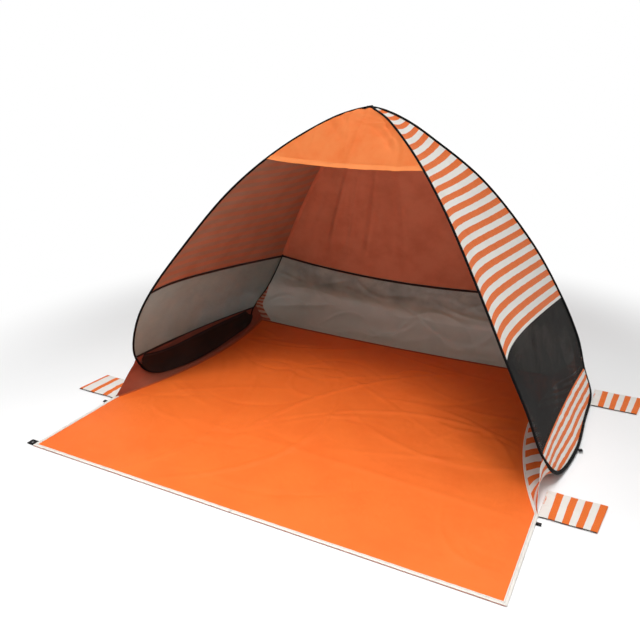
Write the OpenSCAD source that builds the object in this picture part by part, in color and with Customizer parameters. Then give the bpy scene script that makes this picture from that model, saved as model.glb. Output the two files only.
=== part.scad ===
// Self-opening two-hoop beach shelter: two leaf-shaped spring-steel hoops, joined at the
// apex, hold a fabric half-dome open over a floor with a porch and four sand pockets.
// The origin is on the ground under the apex. +X is the right-hand side seen from the
// mouth, +Y is the rear, +Z is up.

/* [Overall] */
// Height of the apex above the ground
apex_height = 1100; // [900:10:1300]
// Width across the feet of the two hoops
foot_width = 1600; // [1300:10:1900]
// Depth of the hoops, from their foremost to their rearmost point
hoop_depth = 1000; // [850:10:1150]

/* [Hoops] */
// Diameter of the spring-steel wire
wire_d = 3.2; // [2.4:0.2:4]
// Outer diameter of the fabric sleeve along the front and rear runs
sleeve_d = 13; // [10:0.5:17]
// Outer diameter of the thicker sleeve along the foot
foot_sleeve_d = 15; // [12:0.5:18]
// Room between the wire and its sleeve, on each side
wire_room = 0.6; // [0.4:0.1:1]
// Wall of the crimp tube that joins the ends of the wire
crimp_wall = 2; // [1:0.25:2.5]
// How far the right foot has spread outwards
right_spread = 50; // [-80:5:80]
// How far the left foot has spread outwards
left_spread = -70; // [-80:5:80]

/* [Floor] */
// Distance from the apex to the front edge of the porch
porch_reach = 980; // [800:10:1200]
// Distance from the apex to the side corners, where the porch starts
corner_reach = 585; // [500:5:650]
// Distance from the apex to the rear corners of the floor
rear_reach = 380; // [320:5:420]
// How far the side corners of the floor lie outside the feet
porch_overhang = 5; // [0:1:10]
// How far the rear corners of the floor lie inside the feet
rear_inset = 60; // [50:5:90]
// How far the right side of the floor bows in between its corners
right_hem_bow = 90; // [60:5:160]
// How far the left side of the floor bows in between its corners
left_hem_bow = 75; // [60:5:160]
// How far the rear edge of the floor bows forward
rear_bow = 30; // [0:5:60]
// Width of the hem tape around the floor
hem_w = 12; // [8:1:20]

/* [Fabric] */
// Thickness that stands in for each sheet of cloth
cloth = 1.2; // [0.8:0.1:2]
// Room between a sheet and the piece that it is sewn to
seam_room = 0.3; // [0.2:0.05:0.5]
// Width of the seam tapes
tape_w = 10; // [6:1:16]
// How far the rear seam sags in the middle
rear_sag = 40; // [0:5:80]
// How far the middle of the rear wall lies forward of its sides
rear_flat = 20; // [0:5:60]
// How far the mouth of the storage pocket stands open
storage_mouth = 22; // [14:1:30]

/* [Sand pockets] */
// Length of a sand pocket, from its root to its outer edge
pocket_l = 175; // [120:5:200]
// Width of a sand pocket
pocket_w = 140; // [120:5:180]
// Thickness of an empty sand pocket
pocket_t = 4; // [3:0.5:6]
// Distance from the apex to the middle of the front sand pockets
front_pocket_at = 525; // [500:5:540]
// Distance from the apex to the middle of the right rear sand pocket
right_rear_pocket_at = 250; // [160:5:260]
// Distance from the apex to the middle of the left rear sand pocket
left_rear_pocket_at = 200; // [160:5:230]
// How far a sand pocket lifts at its root
pocket_lift = 50; // [30:5:60]

/* [Fastenings] */
// Length of a peg loop outside the hem
loop_l = 30; // [24:1:45]
// Width of a peg loop
loop_w = 26; // [20:1:32]
// Thickness of the peg loop webbing
loop_t = 2; // [1:0.2:3]
// Diameter of the eyelet in a peg loop
eyelet_d = 10; // [6:1:14]
// Length of the tie that joins the hoops at the apex
tie_l = 44; // [30:2:70]
// Thickness of the apex tie
tie_t = 2.4; // [1.6:0.2:3]

/* [Hidden] */
SIDE_NODES = [
  "wire", "wire_crimp", "sleeve_front", "sleeve_foot", "sleeve_rear", "sleeve_tail",
  "upper_panel", "upper_seam", "mesh_window", "lower_seam", "lower_panel", "gusset",
  "front_sand_pocket", "rear_sand_pocket"
];

ORANGE = "#f26a2b";
SHADE = "#b5522f";
STRIPED = "#f6b48c";
MESH = "#5b5852";
BLACK = "#1b1a1a";
STEEL = "#9aa0a6";
WHITE = "#efece4";

RIGHT = 1;
LEFT = -1;

wire_r = wire_d / 2;
sleeve_r = sleeve_d / 2;
foot_r = foot_sleeve_d / 2;
bore_r = wire_r + wire_room;
crimp_r = wire_r + crimp_wall;
foot_bore_r = crimp_r + wire_room;

// The tips of the hoops stand a little above the fold axis, so that they stay clear of
// the tie all the way through the fold.
tip_z = apex_height - sleeve_r;
tip_x = tie_t / 2 + seam_room + sleeve_r;
porch_width = foot_width + 2 * porch_overhang;
rear_width = foot_width - 2 * rear_inset;
fold_z = tip_z - 0.3 * tip_x;

// A hoop's rim, from the apex down the front, along the foot and up the rear: across as a
// share of half the foot width, along as a share of the hoop depth, up as a share of the
// height of the tip, and the share of the foot's spread that the point takes.
RIM = [
  [0, 0, 1, 0],
  [0.14, -0.09, 0.966, 0],
  [0.33, -0.217, 0.867, 0],
  [0.512, -0.335, 0.729, 0],
  [0.688, -0.435, 0.546, 0],
  [0.826, -0.506, 0.384, 0],
  [0.919, -0.516, 0.25, 0],
  [0.98, -0.478, 0.112, 0],
  [1.01, -0.37, 0.012, 0.3],
  [1, -0.18, 0, 1],
  [0.995, 0.04, 0, 1],
  [1, 0.26, 0, 0.8],
  [0.994, 0.4, 0.038, 0],
  [0.932, 0.468, 0.137, 0],
  [0.832, 0.474, 0.285, 0],
  [0.675, 0.415, 0.495, 0],
  [0.452, 0.303, 0.725, 0],
  [0.226, 0.165, 0.89, 0],
  [0.105, 0.082, 0.963, 0]
];
SPANS = len(RIM);
STEPS = 5;
// Places on the rim: the upper seam, the lower seam and the top edges of the panels
UPPER = 5;
LOWER = 7;
TOP = 0.35;
VISOR_END = 2.25;
CRIMP_FROM = 8.6;
CRIMP_TO = 9;

function unit(v) = v / norm(v);
function mix(a, b, t) = a + (b - a) * t;
function curve(a, b, c, d, t) =
  0.5 * (2 * b + (c - a) * t + (2 * a - 5 * b + 4 * c - d) * t * t
  + (3 * b - a - 3 * c + d) * t * t * t);

function spread(side) = side > 0 ? right_spread : left_spread;
function rim_point(side, i) =
  let (p = RIM[(i + SPANS) % SPANS])
  [
    i % SPANS == 0 ? tip_x : p[0] * foot_width / 2 + p[3] * spread(side),
    p[1] * hoop_depth,
    foot_r + p[2] * (tip_z - foot_r)
  ];
// The hoop's centre line at place s, where whole numbers are the points of the rim
function hoop(side, s) =
  let (
    i = floor(s),
    p = curve(
      rim_point(side, i - 1), rim_point(side, i), rim_point(side, i + 1),
      rim_point(side, i + 2), s - i
    )
  )
  [side * p[0], p[1], max(p[2], foot_r)];
function along(side, s) = unit(hoop(side, s + 0.05) - hoop(side, s - 0.05));
// The foot sleeve is the thicker one, and the sheets beside its ends stay clear of it too.
function is_foot(s) = s >= LOWER - 0.15 && s <= SPANS - LOWER + 0.15;
// The edge of a sheet that is sewn to the hoop at s and runs towards a point
function sewn(side, s, towards) =
  let (
    p = hoop(side, s),
    d = unit(towards - p),
    slant = max(0.2, norm(cross(d, along(side, s)))),
    r = (is_foot(s) ? foot_r : sleeve_r) + 1.7 * seam_room
  )
  p + d * r / slant;

// A tube along the hoop, from place s0 to s1. The plane of a hoop is never square to its
// centre line, so the leaf's direction outwards orients the rings.
function ring(side, s, r, n) =
  let (
    t = along(side, s),
    out = [side * 0.84, 0, 0.54],
    a = unit(cross(t, out)),
    b = cross(t, a)
  )
  [for (k = [0 : n - 1]) hoop(side, s) + r * (cos(360 * k / n) * a + sin(360 * k / n) * b)];

module tube(side, s0, s1, r_out, r_in, n) {
  m = round((s1 - s0) * STEPS);
  o = (m + 1) * n;
  outer = [for (i = [0 : m]) each ring(side, s0 + i / STEPS, r_out, n)];
  inner = [for (i = [0 : m]) each ring(side, s0 + i / STEPS, r_in, n)];
  walls = [for (i = [0 : m - 1], k = [0 : n - 1])
    let (j = (k + 1) % n, a = i * n, b = (i + 1) * n) each [
      [a + k, b + k, b + j],
      [a + k, b + j, a + j],
      [o + a + k, o + b + j, o + b + k],
      [o + a + k, o + a + j, o + b + j]
    ]];
  ends = [for (k = [0 : n - 1]) let (j = (k + 1) % n, a = m * n, b = o + m * n) each [
    [k, j, o + j],
    [k, o + j, o + k],
    [a + k, b + j, a + j],
    [a + k, b + k, b + j]
  ]];
  polyhedron(concat(outer, inner), concat(walls, ends));
}

// The wire is one closed loop.
module loop_wire(side, n) {
  m = SPANS * STEPS;
  points = [for (i = [0 : m - 1]) each ring(side, i / STEPS, wire_r, n)];
  polyhedron(points, [for (i = [0 : m - 1], k = [0 : n - 1])
    let (j = (k + 1) % n, h = (i + 1) % m) each [
      [i * n + k, h * n + k, h * n + j],
      [i * n + k, h * n + j, i * n + j]
    ]]);
}

// A sheet of cloth from rows of points, thickened evenly to both sides
function bend(g, i, j) =
  let (
    rows = len(g) - 1,
    cols = len(g[0]) - 1,
    a = g[min(i + 1, rows)][j] - g[max(i - 1, 0)][j],
    b = g[i][min(j + 1, cols)] - g[i][max(j - 1, 0)]
  )
  unit(cross(a, b));

module sheet(g, t = cloth) {
  rows = len(g) - 1;
  cols = len(g[0]) - 1;
  w = cols + 1;
  half = (rows + 1) * w;
  top = [for (i = [0 : rows], j = [0 : cols]) g[i][j] + bend(g, i, j) * t / 2];
  low = [for (i = [0 : rows], j = [0 : cols]) g[i][j] - bend(g, i, j) * t / 2];
  faces = [for (i = [0 : rows - 1], j = [0 : cols - 1]) let (p = i * w + j) each [
    [p, p + w + 1, p + w], [p, p + 1, p + w + 1],
    [half + p, half + p + w, half + p + w + 1], [half + p, half + p + w + 1, half + p + 1]
  ]];
  rim_ids = concat(
    [for (j = [0 : cols]) j],
    [for (i = [1 : rows]) i * w + cols],
    [for (j = [cols - 1 : -1 : 0]) rows * w + j],
    [for (i = [rows - 1 : -1 : 1]) i * w]
  );
  n = len(rim_ids);
  edge = [for (k = [0 : n - 1]) let (a = rim_ids[k], b = rim_ids[(k + 1) % n]) each [
    [a, half + a, half + b], [a, half + b, b]
  ]];
  polyhedron(concat(top, low), concat(faces, edge));
}

// The side of the shelter is ruled from the front run of the hoop to the rear run.
function leaf_point(side, s, u) =
  let (front = hoop(side, s), rear = hoop(side, SPANS - s))
  mix(sewn(side, s, rear), sewn(side, SPANS - s, front), u);
function leaf(side, s0, s1, rows, cols) = [
  for (i = [0 : rows]) [for (j = [0 : cols]) leaf_point(side, mix(s0, s1, i / rows), j / cols)]
];
// Half a seam tape, as a length of rim, and the room beside it
function half_tape(s) = tape_w / 2 / norm(hoop(RIGHT, s + 0.5) - hoop(RIGHT, s - 0.5));
function beside(s) = half_tape(s) + seam_room / norm(hoop(RIGHT, s + 0.5) - hoop(RIGHT, s - 0.5));

// The lower panel is ruled from the lower seam down to the foot.
PANEL_COLS = 16;
PANEL_ROWS = 4;
PANEL_END = 0.035;
function lower_point(side, u, w) =
  let (
    high = leaf_point(side, LOWER + beside(LOWER) + 0.01, u),
    s = mix(LOWER, SPANS - LOWER, u)
  )
  mix(high, sewn(side, s, high), w);
function lower_u(k) = mix(PANEL_END, 1 - PANEL_END, k / PANEL_COLS);

// The floor's outline: a side hem from the side corner (w = 0) to the rear corner (w = 1)
function hem_bow(side) = side > 0 ? right_hem_bow : left_hem_bow;
function hem(side, w) = [
  side * (mix(porch_width, rear_width, w) / 2 - hem_bow(side) * 4 * w * (1 - w)),
  mix(-corner_reach, rear_reach, w)
];
function rear_edge(c) = [c * rear_width / 2, rear_reach - rear_bow * (1 - c * c)];
HEM_STEPS = 10;
floor_outline = concat(
  [[-porch_width / 2, -porch_reach], [porch_width / 2, -porch_reach]],
  [for (k = [0 : HEM_STEPS]) hem(RIGHT, k / HEM_STEPS)],
  [for (k = [1 : HEM_STEPS - 1]) rear_edge(1 - 2 * k / HEM_STEPS)],
  [for (k = [HEM_STEPS : -1 : 0]) hem(LEFT, k / HEM_STEPS)]
);
// Each corner of the outline moved inwards by d, square to both of its sides
function inwards(v) = unit([-v[1], v[0]]);
function shrunk(outline, d) =
  let (n = len(outline))
  [for (i = [0 : n - 1])
    let (
      a = inwards(outline[i] - outline[(i + n - 1) % n]),
      b = inwards(outline[(i + 1) % n] - outline[i]),
      m = unit(a + b)
    )
    outline[i] + m * d / (m * a)];

module floor_sheet() {
  color(ORANGE) linear_extrude(cloth) polygon(shrunk(floor_outline, hem_w));
}

module floor_hem() {
  color(WHITE) linear_extrude(cloth) difference() {
    polygon(floor_outline);
    polygon(shrunk(floor_outline, hem_w));
  }
}

// Sheets that span from the left hoop to the right hoop, at place s on both
function across(s, c, lift, back) =
  let (
    l = hoop(LEFT, s),
    r = hoop(RIGHT, s),
    p = mix(sewn(LEFT, s, r), sewn(RIGHT, s, l), (c + 1) / 2),
    middle = 1 - c * c
  )
  p + [0, back * middle, lift * middle];

WIDE_COLS = 16;
function wide_c(k) = 2 * k / WIDE_COLS - 1;
VISOR_ROWS = 6;
visor_band = 0.08;

module visor() {
  color(ORANGE) sheet([for (i = [0 : VISOR_ROWS]) [for (k = [0 : WIDE_COLS])
    across(mix(TOP, VISOR_END - visor_band, i / VISOR_ROWS), wide_c(k), 0, 0)]]);
}

module visor_hem() {
  color(SHADE) sheet([for (s = [VISOR_END - visor_band + 0.003, VISOR_END])
    [for (k = [0 : WIDE_COLS]) across(s, wide_c(k), 0, 0)]]);
}

REAR_ROWS = 12;
rear_from = SPANS - TOP;
rear_to = SPANS - UPPER;
function rear_row(s) =
  let (f = (rear_from - s) / (rear_from - rear_to))
  [for (k = [0 : WIDE_COLS]) across(s, wide_c(k), -rear_sag * f * f, -rear_flat * f)];

module rear_wall() {
  color(SHADE) sheet([for (i = [0 : REAR_ROWS])
    rear_row(mix(rear_from, rear_to + beside(UPPER), i / REAR_ROWS))]);
}

module rear_seam() {
  color(BLACK) sheet([for (d = [1, -1]) rear_row(rear_to + d * half_tape(UPPER))]);
}

// The rear window runs on from the seam to the rear edge of the floor.
WINDOW_ROWS = 5;
WINDOW_END = SPANS - LOWER + 0.15;
module rear_mesh_window() {
  top = rear_to - beside(UPPER) - 0.01;
  low = [for (k = [0 : WIDE_COLS]) let (e = rear_edge(wide_c(k)))
    [e[0], e[1] + seam_room + cloth, cloth / 2]];
  upper = [for (i = [0 : WINDOW_ROWS - 1])
    let (f = i / WINDOW_ROWS, s = mix(top, WINDOW_END, i / (WINDOW_ROWS - 1)))
    [for (k = [0 : WIDE_COLS]) let (c = wide_c(k), b = rear_edge(c))
      across(s, c, -rear_sag * (1 - f), mix(-rear_flat, b[1] - rear_reach, f))]];
  color(MESH) sheet(concat(upper, [low]));
}

// The fold axis of the hoops is the round lower edge of the apex tie.
module apex_tie() {
  color(BLACK) {
    translate([0, tie_l / 2, fold_z]) rotate([90, 0, 0]) cylinder(d = tie_t, h = tie_l, $fn = 32);
    translate([-tie_t / 2, -tie_l / 2, fold_z]) cube([tie_t, tie_l, apex_height - fold_z]);
  }
}

module peg_loop(x, y, side) {
  color(BLACK) translate([x + side * seam_room, y, 0]) difference() {
    translate([side > 0 ? 0 : -loop_l, -loop_w / 2, 0]) cube([loop_l, loop_w, loop_t]);
    translate([side * (loop_l - loop_w / 2), 0, -1]) cylinder(d = eyelet_d, h = loop_t + 2, $fn = 48);
  }
}
side_loop_y = -(corner_reach + loop_w / 2 + 30);
porch_loop_y = -(porch_reach - loop_w / 2 - 2);

module left_peg_loop() peg_loop(-porch_width / 2, side_loop_y, LEFT);
module right_peg_loop() peg_loop(porch_width / 2, side_loop_y, RIGHT);
module porch_peg_loop() peg_loop(-porch_width / 2, porch_loop_y, LEFT);

// Pieces of one side
module wire(side) {
  color(STEEL) loop_wire(side, 6);
}
module wire_crimp(side) {
  color(STEEL) tube(side, CRIMP_FROM, CRIMP_TO, crimp_r, wire_r, 6);
}
module sleeve_front(side) {
  color(BLACK) tube(side, 0, LOWER, sleeve_r, bore_r, 8);
}
module sleeve_foot(side) {
  color(BLACK) tube(side, LOWER, SPANS - LOWER, foot_r, foot_bore_r, 12);
}
module sleeve_rear(side) {
  color(BLACK) tube(side, SPANS - LOWER, SPANS, sleeve_r, bore_r, 8);
}
// The knotted end of the sleeve's drawn thread, beside the crimp
module sleeve_tail(side) {
  tail_d = 5;
  tail_l = 12;
  place = CRIMP_TO;
  out = unit(cross(along(side, place), [0, 0, side]));
  color(BLACK) translate(hoop(side, place) + (foot_r + 1.6 * seam_room) * out)
    rotate([0, 90, atan2(out[1], out[0])]) cylinder(d = tail_d, h = tail_l, $fn = 24);
}

module upper_panel(side) {
  color(STRIPED) sheet(leaf(side, TOP, UPPER - beside(UPPER), 14, 8));
}
module upper_seam(side) {
  color(BLACK) sheet(leaf(side, UPPER - half_tape(UPPER), UPPER + half_tape(UPPER), 1, 8));
}
module mesh_window(side) {
  color(MESH) sheet(leaf(side, UPPER + beside(UPPER), LOWER - beside(LOWER), 6, 8));
}
module lower_seam(side) {
  color(BLACK) sheet(leaf(side, LOWER - half_tape(LOWER), LOWER + half_tape(LOWER), 1, 16));
}
module lower_panel(side) {
  color(STRIPED) sheet([for (i = [0 : PANEL_ROWS]) [for (k = [0 : PANEL_COLS])
    lower_point(side, lower_u(k), i / PANEL_ROWS)]]);
}

// The gusset fills the ground between the foot of the hoop and the top of the floor's hem.
GUSSET_COLS = 24;
module gusset(side) {
  color(STRIPED) sheet([for (i = [0 : 2]) [for (k = [0 : GUSSET_COLS])
    let (
      w = 0.985 * k / GUSSET_COLS,
      h = hem(side, w),
      inner = [h[0] - side * 2 * cloth, h[1], 2 * cloth + seam_room]
    )
    mix(inner, sewn(side, mix(LOWER + 0.15, SPANS - LOWER, w), inner), i / 2)]]);
}

// A sand pocket is two layers of cloth, sewn together on three sides, with its mouth at
// its root. It hinges at the rolled hem along its root.
// It lies beside the foot and the hem, whichever reaches further out along its root, and
// far enough out to lift without touching the foot.
function root_room(room, rise) =
  rise < room * cos(pocket_lift) ? sqrt(room * room - rise * rise)
  : (room - rise * cos(pocket_lift)) / sin(pocket_lift);
function pocket_root(side, y) =
  let (
    reach = pocket_w / 2 + foot_r,
    room = foot_r + seam_room + pocket_t / 2,
    beside_foot = [for (s = [LOWER : 0.01 : SPANS - LOWER])
      let (p = hoop(side, s))
      if (abs(p[1] - y) < reach) side * p[0] + root_room(room, p[2] - pocket_t / 2)]
  )
  max(concat([y < 0 ? porch_width / 2 + seam_room + pocket_t / 2 : 0], beside_foot));

module sand_pocket(side, y) {
  border = 8;
  gap = 1;
  root = pocket_root(side, y);
  color(STRIPED) translate([side * root, y, 0]) {
    difference() {
      translate([side > 0 ? 0 : -pocket_l, -pocket_w / 2, 0.2])
        cube([pocket_l, pocket_w, pocket_t - 0.4]);
      translate([side > 0 ? pocket_t : -(pocket_l - border), border - pocket_w / 2, (pocket_t - gap) / 2])
        cube([pocket_l - border - pocket_t, pocket_w - 2 * border, gap]);
      translate([side > 0 ? pocket_t : -2 * pocket_t, border - pocket_w / 2, pocket_t / 2])
        cube([pocket_t, pocket_w - 2 * border, pocket_t]);
    }
    translate([0, pocket_w / 2, pocket_t / 2]) rotate([90, 0, 0])
      cylinder(d = pocket_t, h = pocket_w, $fn = 32);
  }
}
module front_sand_pocket(side) sand_pocket(side, -front_pocket_at);
module rear_sand_pocket(side) sand_pocket(side, side > 0 ? right_rear_pocket_at : left_rear_pocket_at);

// The storage pocket is a mesh sheet sewn over the inside of the left lower panel.
STORAGE_TOP = 0.25;
STORAGE_LOW = 0.9;
function storage_point(k, w) =
  let (
    side = LEFT,
    u = lower_u(k),
    p = lower_point(side, u, w),
    a = lower_point(side, u + 0.02, w) - p,
    b = lower_point(side, u, w + 0.02) - p,
    n = unit(cross(a, b)),
    inside = n[0] > 0 ? n : -n,
    f = (k - 2) / (PANEL_COLS - 4),
    g = max(0, (STORAGE_LOW - w) / (STORAGE_LOW - STORAGE_TOP)),
    open = storage_mouth * sin(180 * f) * sin(90 * min(1, g))
  )
  p + inside * (cloth + 3 * seam_room + max(0, open));

module left_storage_pocket() {
  color(MESH) sheet([for (i = [0 : 4]) [for (k = [2 : PANEL_COLS - 2])
    storage_point(k, mix(STORAGE_TOP, STORAGE_LOW, i / 4))]]);
}
module left_storage_hem() {
  color(BLACK) sheet([for (w = [STORAGE_TOP - 0.09, STORAGE_TOP - 0.005])
    [for (k = [2 : PANEL_COLS - 2]) storage_point(k, w)]]);
}

module side_piece(side, name) {
  if (name == "wire") wire(side);
  if (name == "wire_crimp") wire_crimp(side);
  if (name == "sleeve_front") sleeve_front(side);
  if (name == "sleeve_foot") sleeve_foot(side);
  if (name == "sleeve_rear") sleeve_rear(side);
  if (name == "sleeve_tail") sleeve_tail(side);
  if (name == "upper_panel") upper_panel(side);
  if (name == "upper_seam") upper_seam(side);
  if (name == "mesh_window") mesh_window(side);
  if (name == "lower_seam") lower_seam(side);
  if (name == "lower_panel") lower_panel(side);
  if (name == "gusset") gusset(side);
  if (name == "front_sand_pocket") front_sand_pocket(side);
  if (name == "rear_sand_pocket") rear_sand_pocket(side);
}

apex_tie();
visor();
visor_hem();
rear_wall();
rear_seam();
rear_mesh_window();
floor_sheet();
floor_hem();
left_peg_loop();
right_peg_loop();
porch_peg_loop();
left_storage_pocket();
left_storage_hem();
for (name = SIDE_NODES) {
  side_piece(RIGHT, name);
  side_piece(LEFT, name);
}
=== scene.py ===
"""A self-opening two-hoop beach shelter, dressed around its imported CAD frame.

All sizes are in metres, in the row frame: the origin is on the ground under the apex,
+X is the right-hand side seen from the mouth, +Y is the rear, +Z is up.
"""

import math

import bpy
import numpy as np
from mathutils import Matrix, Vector


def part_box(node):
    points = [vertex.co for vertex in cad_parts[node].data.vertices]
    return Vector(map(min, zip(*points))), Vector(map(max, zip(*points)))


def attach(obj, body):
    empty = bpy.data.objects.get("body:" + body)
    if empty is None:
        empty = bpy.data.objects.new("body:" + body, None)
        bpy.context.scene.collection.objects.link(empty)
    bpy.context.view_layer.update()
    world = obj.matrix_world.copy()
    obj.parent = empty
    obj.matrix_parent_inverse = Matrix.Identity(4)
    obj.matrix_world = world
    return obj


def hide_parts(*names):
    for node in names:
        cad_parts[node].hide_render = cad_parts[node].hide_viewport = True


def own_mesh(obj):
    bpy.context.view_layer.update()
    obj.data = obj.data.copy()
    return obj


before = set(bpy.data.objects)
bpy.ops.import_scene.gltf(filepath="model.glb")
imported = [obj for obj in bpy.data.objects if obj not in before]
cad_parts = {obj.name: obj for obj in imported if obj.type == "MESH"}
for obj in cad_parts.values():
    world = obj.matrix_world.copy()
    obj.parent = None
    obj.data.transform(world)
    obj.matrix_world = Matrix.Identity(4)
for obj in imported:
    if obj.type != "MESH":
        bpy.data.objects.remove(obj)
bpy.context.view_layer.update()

# ---------------------------------------------------------------- sizes, as in the CAD

RIGHT, LEFT = 1, -1
NAMES = {RIGHT: "right", LEFT: "left"}
APEX_HEIGHT = 1.1
FOOT_WIDTH = 1.6
HOOP_DEPTH = 1.0
SLEEVE_R = 0.0065
FOOT_R = 0.0075
TIP_X = 0.008
TIP_Z = APEX_HEIGHT - SLEEVE_R
SPREAD = {RIGHT: 0.05, LEFT: -0.07}
PORCH_REACH = 0.98
CORNER_REACH = 0.585
REAR_REACH = 0.38
PORCH_WIDTH = 1.61
REAR_WIDTH = 1.48
HEM_BOW = {RIGHT: 0.09, LEFT: 0.075}
REAR_BOW = 0.03
HEM_W = 0.012
REAR_SAG = 0.04
REAR_FLAT = 0.02
POCKET_L = 0.175
POCKET_W = 0.14
LOOP_L = 0.03
LOOP_W = 0.026
EYELET_D = 0.01

# The rim of a hoop: across as a share of half the foot width, along as a share of the
# depth, up as a share of the tip's height above the foot, and the share of the spread.
RIM = [
    (0, 0, 1, 0),
    (0.14, -0.09, 0.966, 0),
    (0.33, -0.217, 0.867, 0),
    (0.512, -0.335, 0.729, 0),
    (0.688, -0.435, 0.546, 0),
    (0.826, -0.506, 0.384, 0),
    (0.919, -0.516, 0.25, 0),
    (0.98, -0.478, 0.112, 0),
    (1.01, -0.37, 0.012, 0.3),
    (1, -0.18, 0, 1),
    (0.995, 0.04, 0, 1),
    (1, 0.26, 0, 0.8),
    (0.994, 0.4, 0.038, 0),
    (0.932, 0.468, 0.137, 0),
    (0.832, 0.474, 0.285, 0),
    (0.675, 0.415, 0.495, 0),
    (0.452, 0.303, 0.725, 0),
    (0.226, 0.165, 0.89, 0),
    (0.105, 0.082, 0.963, 0),
]
SPANS = len(RIM)
UPPER = 5.0
LOWER = 7.0
VISOR_END = 2.25

# How far the seams arch upwards between the two runs of a hoop, in steps along the rim
UPPER_ARCH = 0.14
LOWER_ARCH = 0.1
# The binding lies tight on the wire, so it looks thinner than the sleeve's outside
BINDING_TOP_R = 0.0038
BINDING_REAR_R = 0.006
BINDING_R = 0.0042
BINDING_FOOT_R = 0.0062
# How far a sheet's edge reaches into the sleeve, measured from the sleeve's middle
TUCK = 0.002
CLOTH = 0.0007
NET = 0.0005
SEAM_TAPE_W = 0.011
SEAM_TAPE_T = 0.0014
# How far the seam tapes lie inside the cloth
SEAM_TAPE_IN = 0.0022
# The way a hoop's plane faces: across and up
HOOP_FACES = (0.84, 0.54)


def coords(*values):
    """Points, or UVs, from their separate coordinates."""
    return np.stack(np.broadcast_arrays(*values), axis=-1)


def rim_points(side):
    """The rim's points in metres, for one side."""
    across, along, up, share = np.array(RIM, float).T
    x = across * FOOT_WIDTH / 2 + share * SPREAD[side]
    x[0] = TIP_X
    return coords(x, along * HOOP_DEPTH, FOOT_R + up * (TIP_Z - FOOT_R))


POINTS = {side: rim_points(side) for side in (RIGHT, LEFT)}


def hoop(side, s):
    """The hoop's centre line at place s, where whole numbers are the rim's points."""
    s = np.asarray(s, float)
    i = np.floor(s).astype(int)
    t = (s - i)[..., None]
    a, b, c, d = (POINTS[side][(i + k) % SPANS] for k in (-1, 0, 1, 2))
    p = 0.5 * (
        2 * b
        + (c - a) * t
        + (2 * a - 5 * b + 4 * c - d) * t**2
        + (3 * b - a - 3 * c + d) * t**3
    )
    p[..., 2] = np.maximum(p[..., 2], FOOT_R)
    p[..., 0] *= side
    return p


def unit(v):
    return v / np.maximum(np.linalg.norm(v, axis=-1, keepdims=True), 1e-12)


def mix(a, b, t):
    return a + (b - a) * t


def lengths(path):
    """How far along a path each of its points is."""
    return np.concatenate([[0], np.cumsum(np.linalg.norm(np.diff(path, axis=0), axis=1))])


def spread_out(along, down):
    """Two lists of values spread over a grid: along its rows, and down its columns."""
    return along[None, :] * np.ones((len(down), 1)), down[:, None] * np.ones((1, len(along)))


def upward(count):
    return np.tile([0.0, 0, 1], (count, 1))


def outward(side, count):
    """The way a hoop's plane faces, once for each point of a path."""
    return np.tile([side * HOOP_FACES[0], 0, HOOP_FACES[1]], (count, 1))


def smooth(lo, hi, x):
    """0 below lo, 1 above hi, and smooth between them."""
    t = np.clip((np.asarray(x, float) - lo) / (hi - lo), 0, 1)
    return t * t * (3 - 2 * t)


def tucked(side, s, towards):
    """The place of a sheet's edge inside the sleeve at s, for a sheet running towards a point."""
    p = hoop(side, s)
    return p + unit(towards - p) * TUCK


def leaf(side, s, u):
    """The side of the shelter: ruled from the front run (u = 0) to the rear run (u = 1)."""
    front, rear = hoop(side, s), hoop(side, SPANS - s)
    u = np.asarray(u, float)[..., None]
    return mix(tucked(side, s, rear), tucked(side, SPANS - s, front), u)


def hem(side, w):
    """The floor's side edge, from the side corner (w = 0) to the rear corner (w = 1)."""
    w = np.asarray(w, float)
    x = mix(PORCH_WIDTH, REAR_WIDTH, w) / 2 - HEM_BOW[side] * 4 * w * (1 - w)
    return coords(side * x, mix(-CORNER_REACH, REAR_REACH, w), 0 * w)


def rear_edge(c):
    c = np.asarray(c, float)
    y = REAR_REACH - REAR_BOW * (1 - c * c)
    return coords(c * REAR_WIDTH / 2, y, 0 * c)


# ---------------------------------------------------------------- wrinkles

RANDOM = np.random.default_rng(7)


def wave_noise(count, lowest, highest, slant=(0, 2 * math.pi)):
    """A smooth field over two coordinates in metres, of waves between two wavelengths."""
    length = np.exp(RANDOM.uniform(np.log(lowest), np.log(highest), count))
    angle = RANDOM.uniform(*slant, count)
    phase = RANDOM.uniform(0, 2 * math.pi, count)
    weight = length / length.sum()

    def field(x, y):
        x, y = np.asarray(x, float)[..., None], np.asarray(y, float)[..., None]
        k = 2 * math.pi / length
        return np.sum(
            weight * np.sin(k * (x * np.cos(angle) + y * np.sin(angle)) + phase), axis=-1
        )

    return field


def creases(count, box, length, width, slant):
    """A field of short soft folds: each is a ridge along a line, which fades out at its ends."""
    x0, y0, x1, y1 = box
    cx, cy = RANDOM.uniform(x0, x1, count), RANDOM.uniform(y0, y1, count)
    angle = RANDOM.uniform(*slant, count)
    half = RANDOM.uniform(0.5, 1, count) * length / 2
    spread = RANDOM.uniform(0.6, 1.3, count) * width
    height = RANDOM.uniform(0.35, 1, count) * RANDOM.choice((-1, 1), count)
    bend = RANDOM.uniform(-0.6, 0.6, count)

    def field(x, y):
        x, y = np.asarray(x, float)[..., None] - cx, np.asarray(y, float)[..., None] - cy
        run = x * np.cos(angle) + y * np.sin(angle)
        off = -x * np.sin(angle) + y * np.cos(angle) - bend * run * run / half
        return np.sum(height * np.exp(-((run / half) ** 2)) * np.exp(-((off / spread) ** 2)), axis=-1)

    return field


# ---------------------------------------------------------------- mesh making


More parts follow.
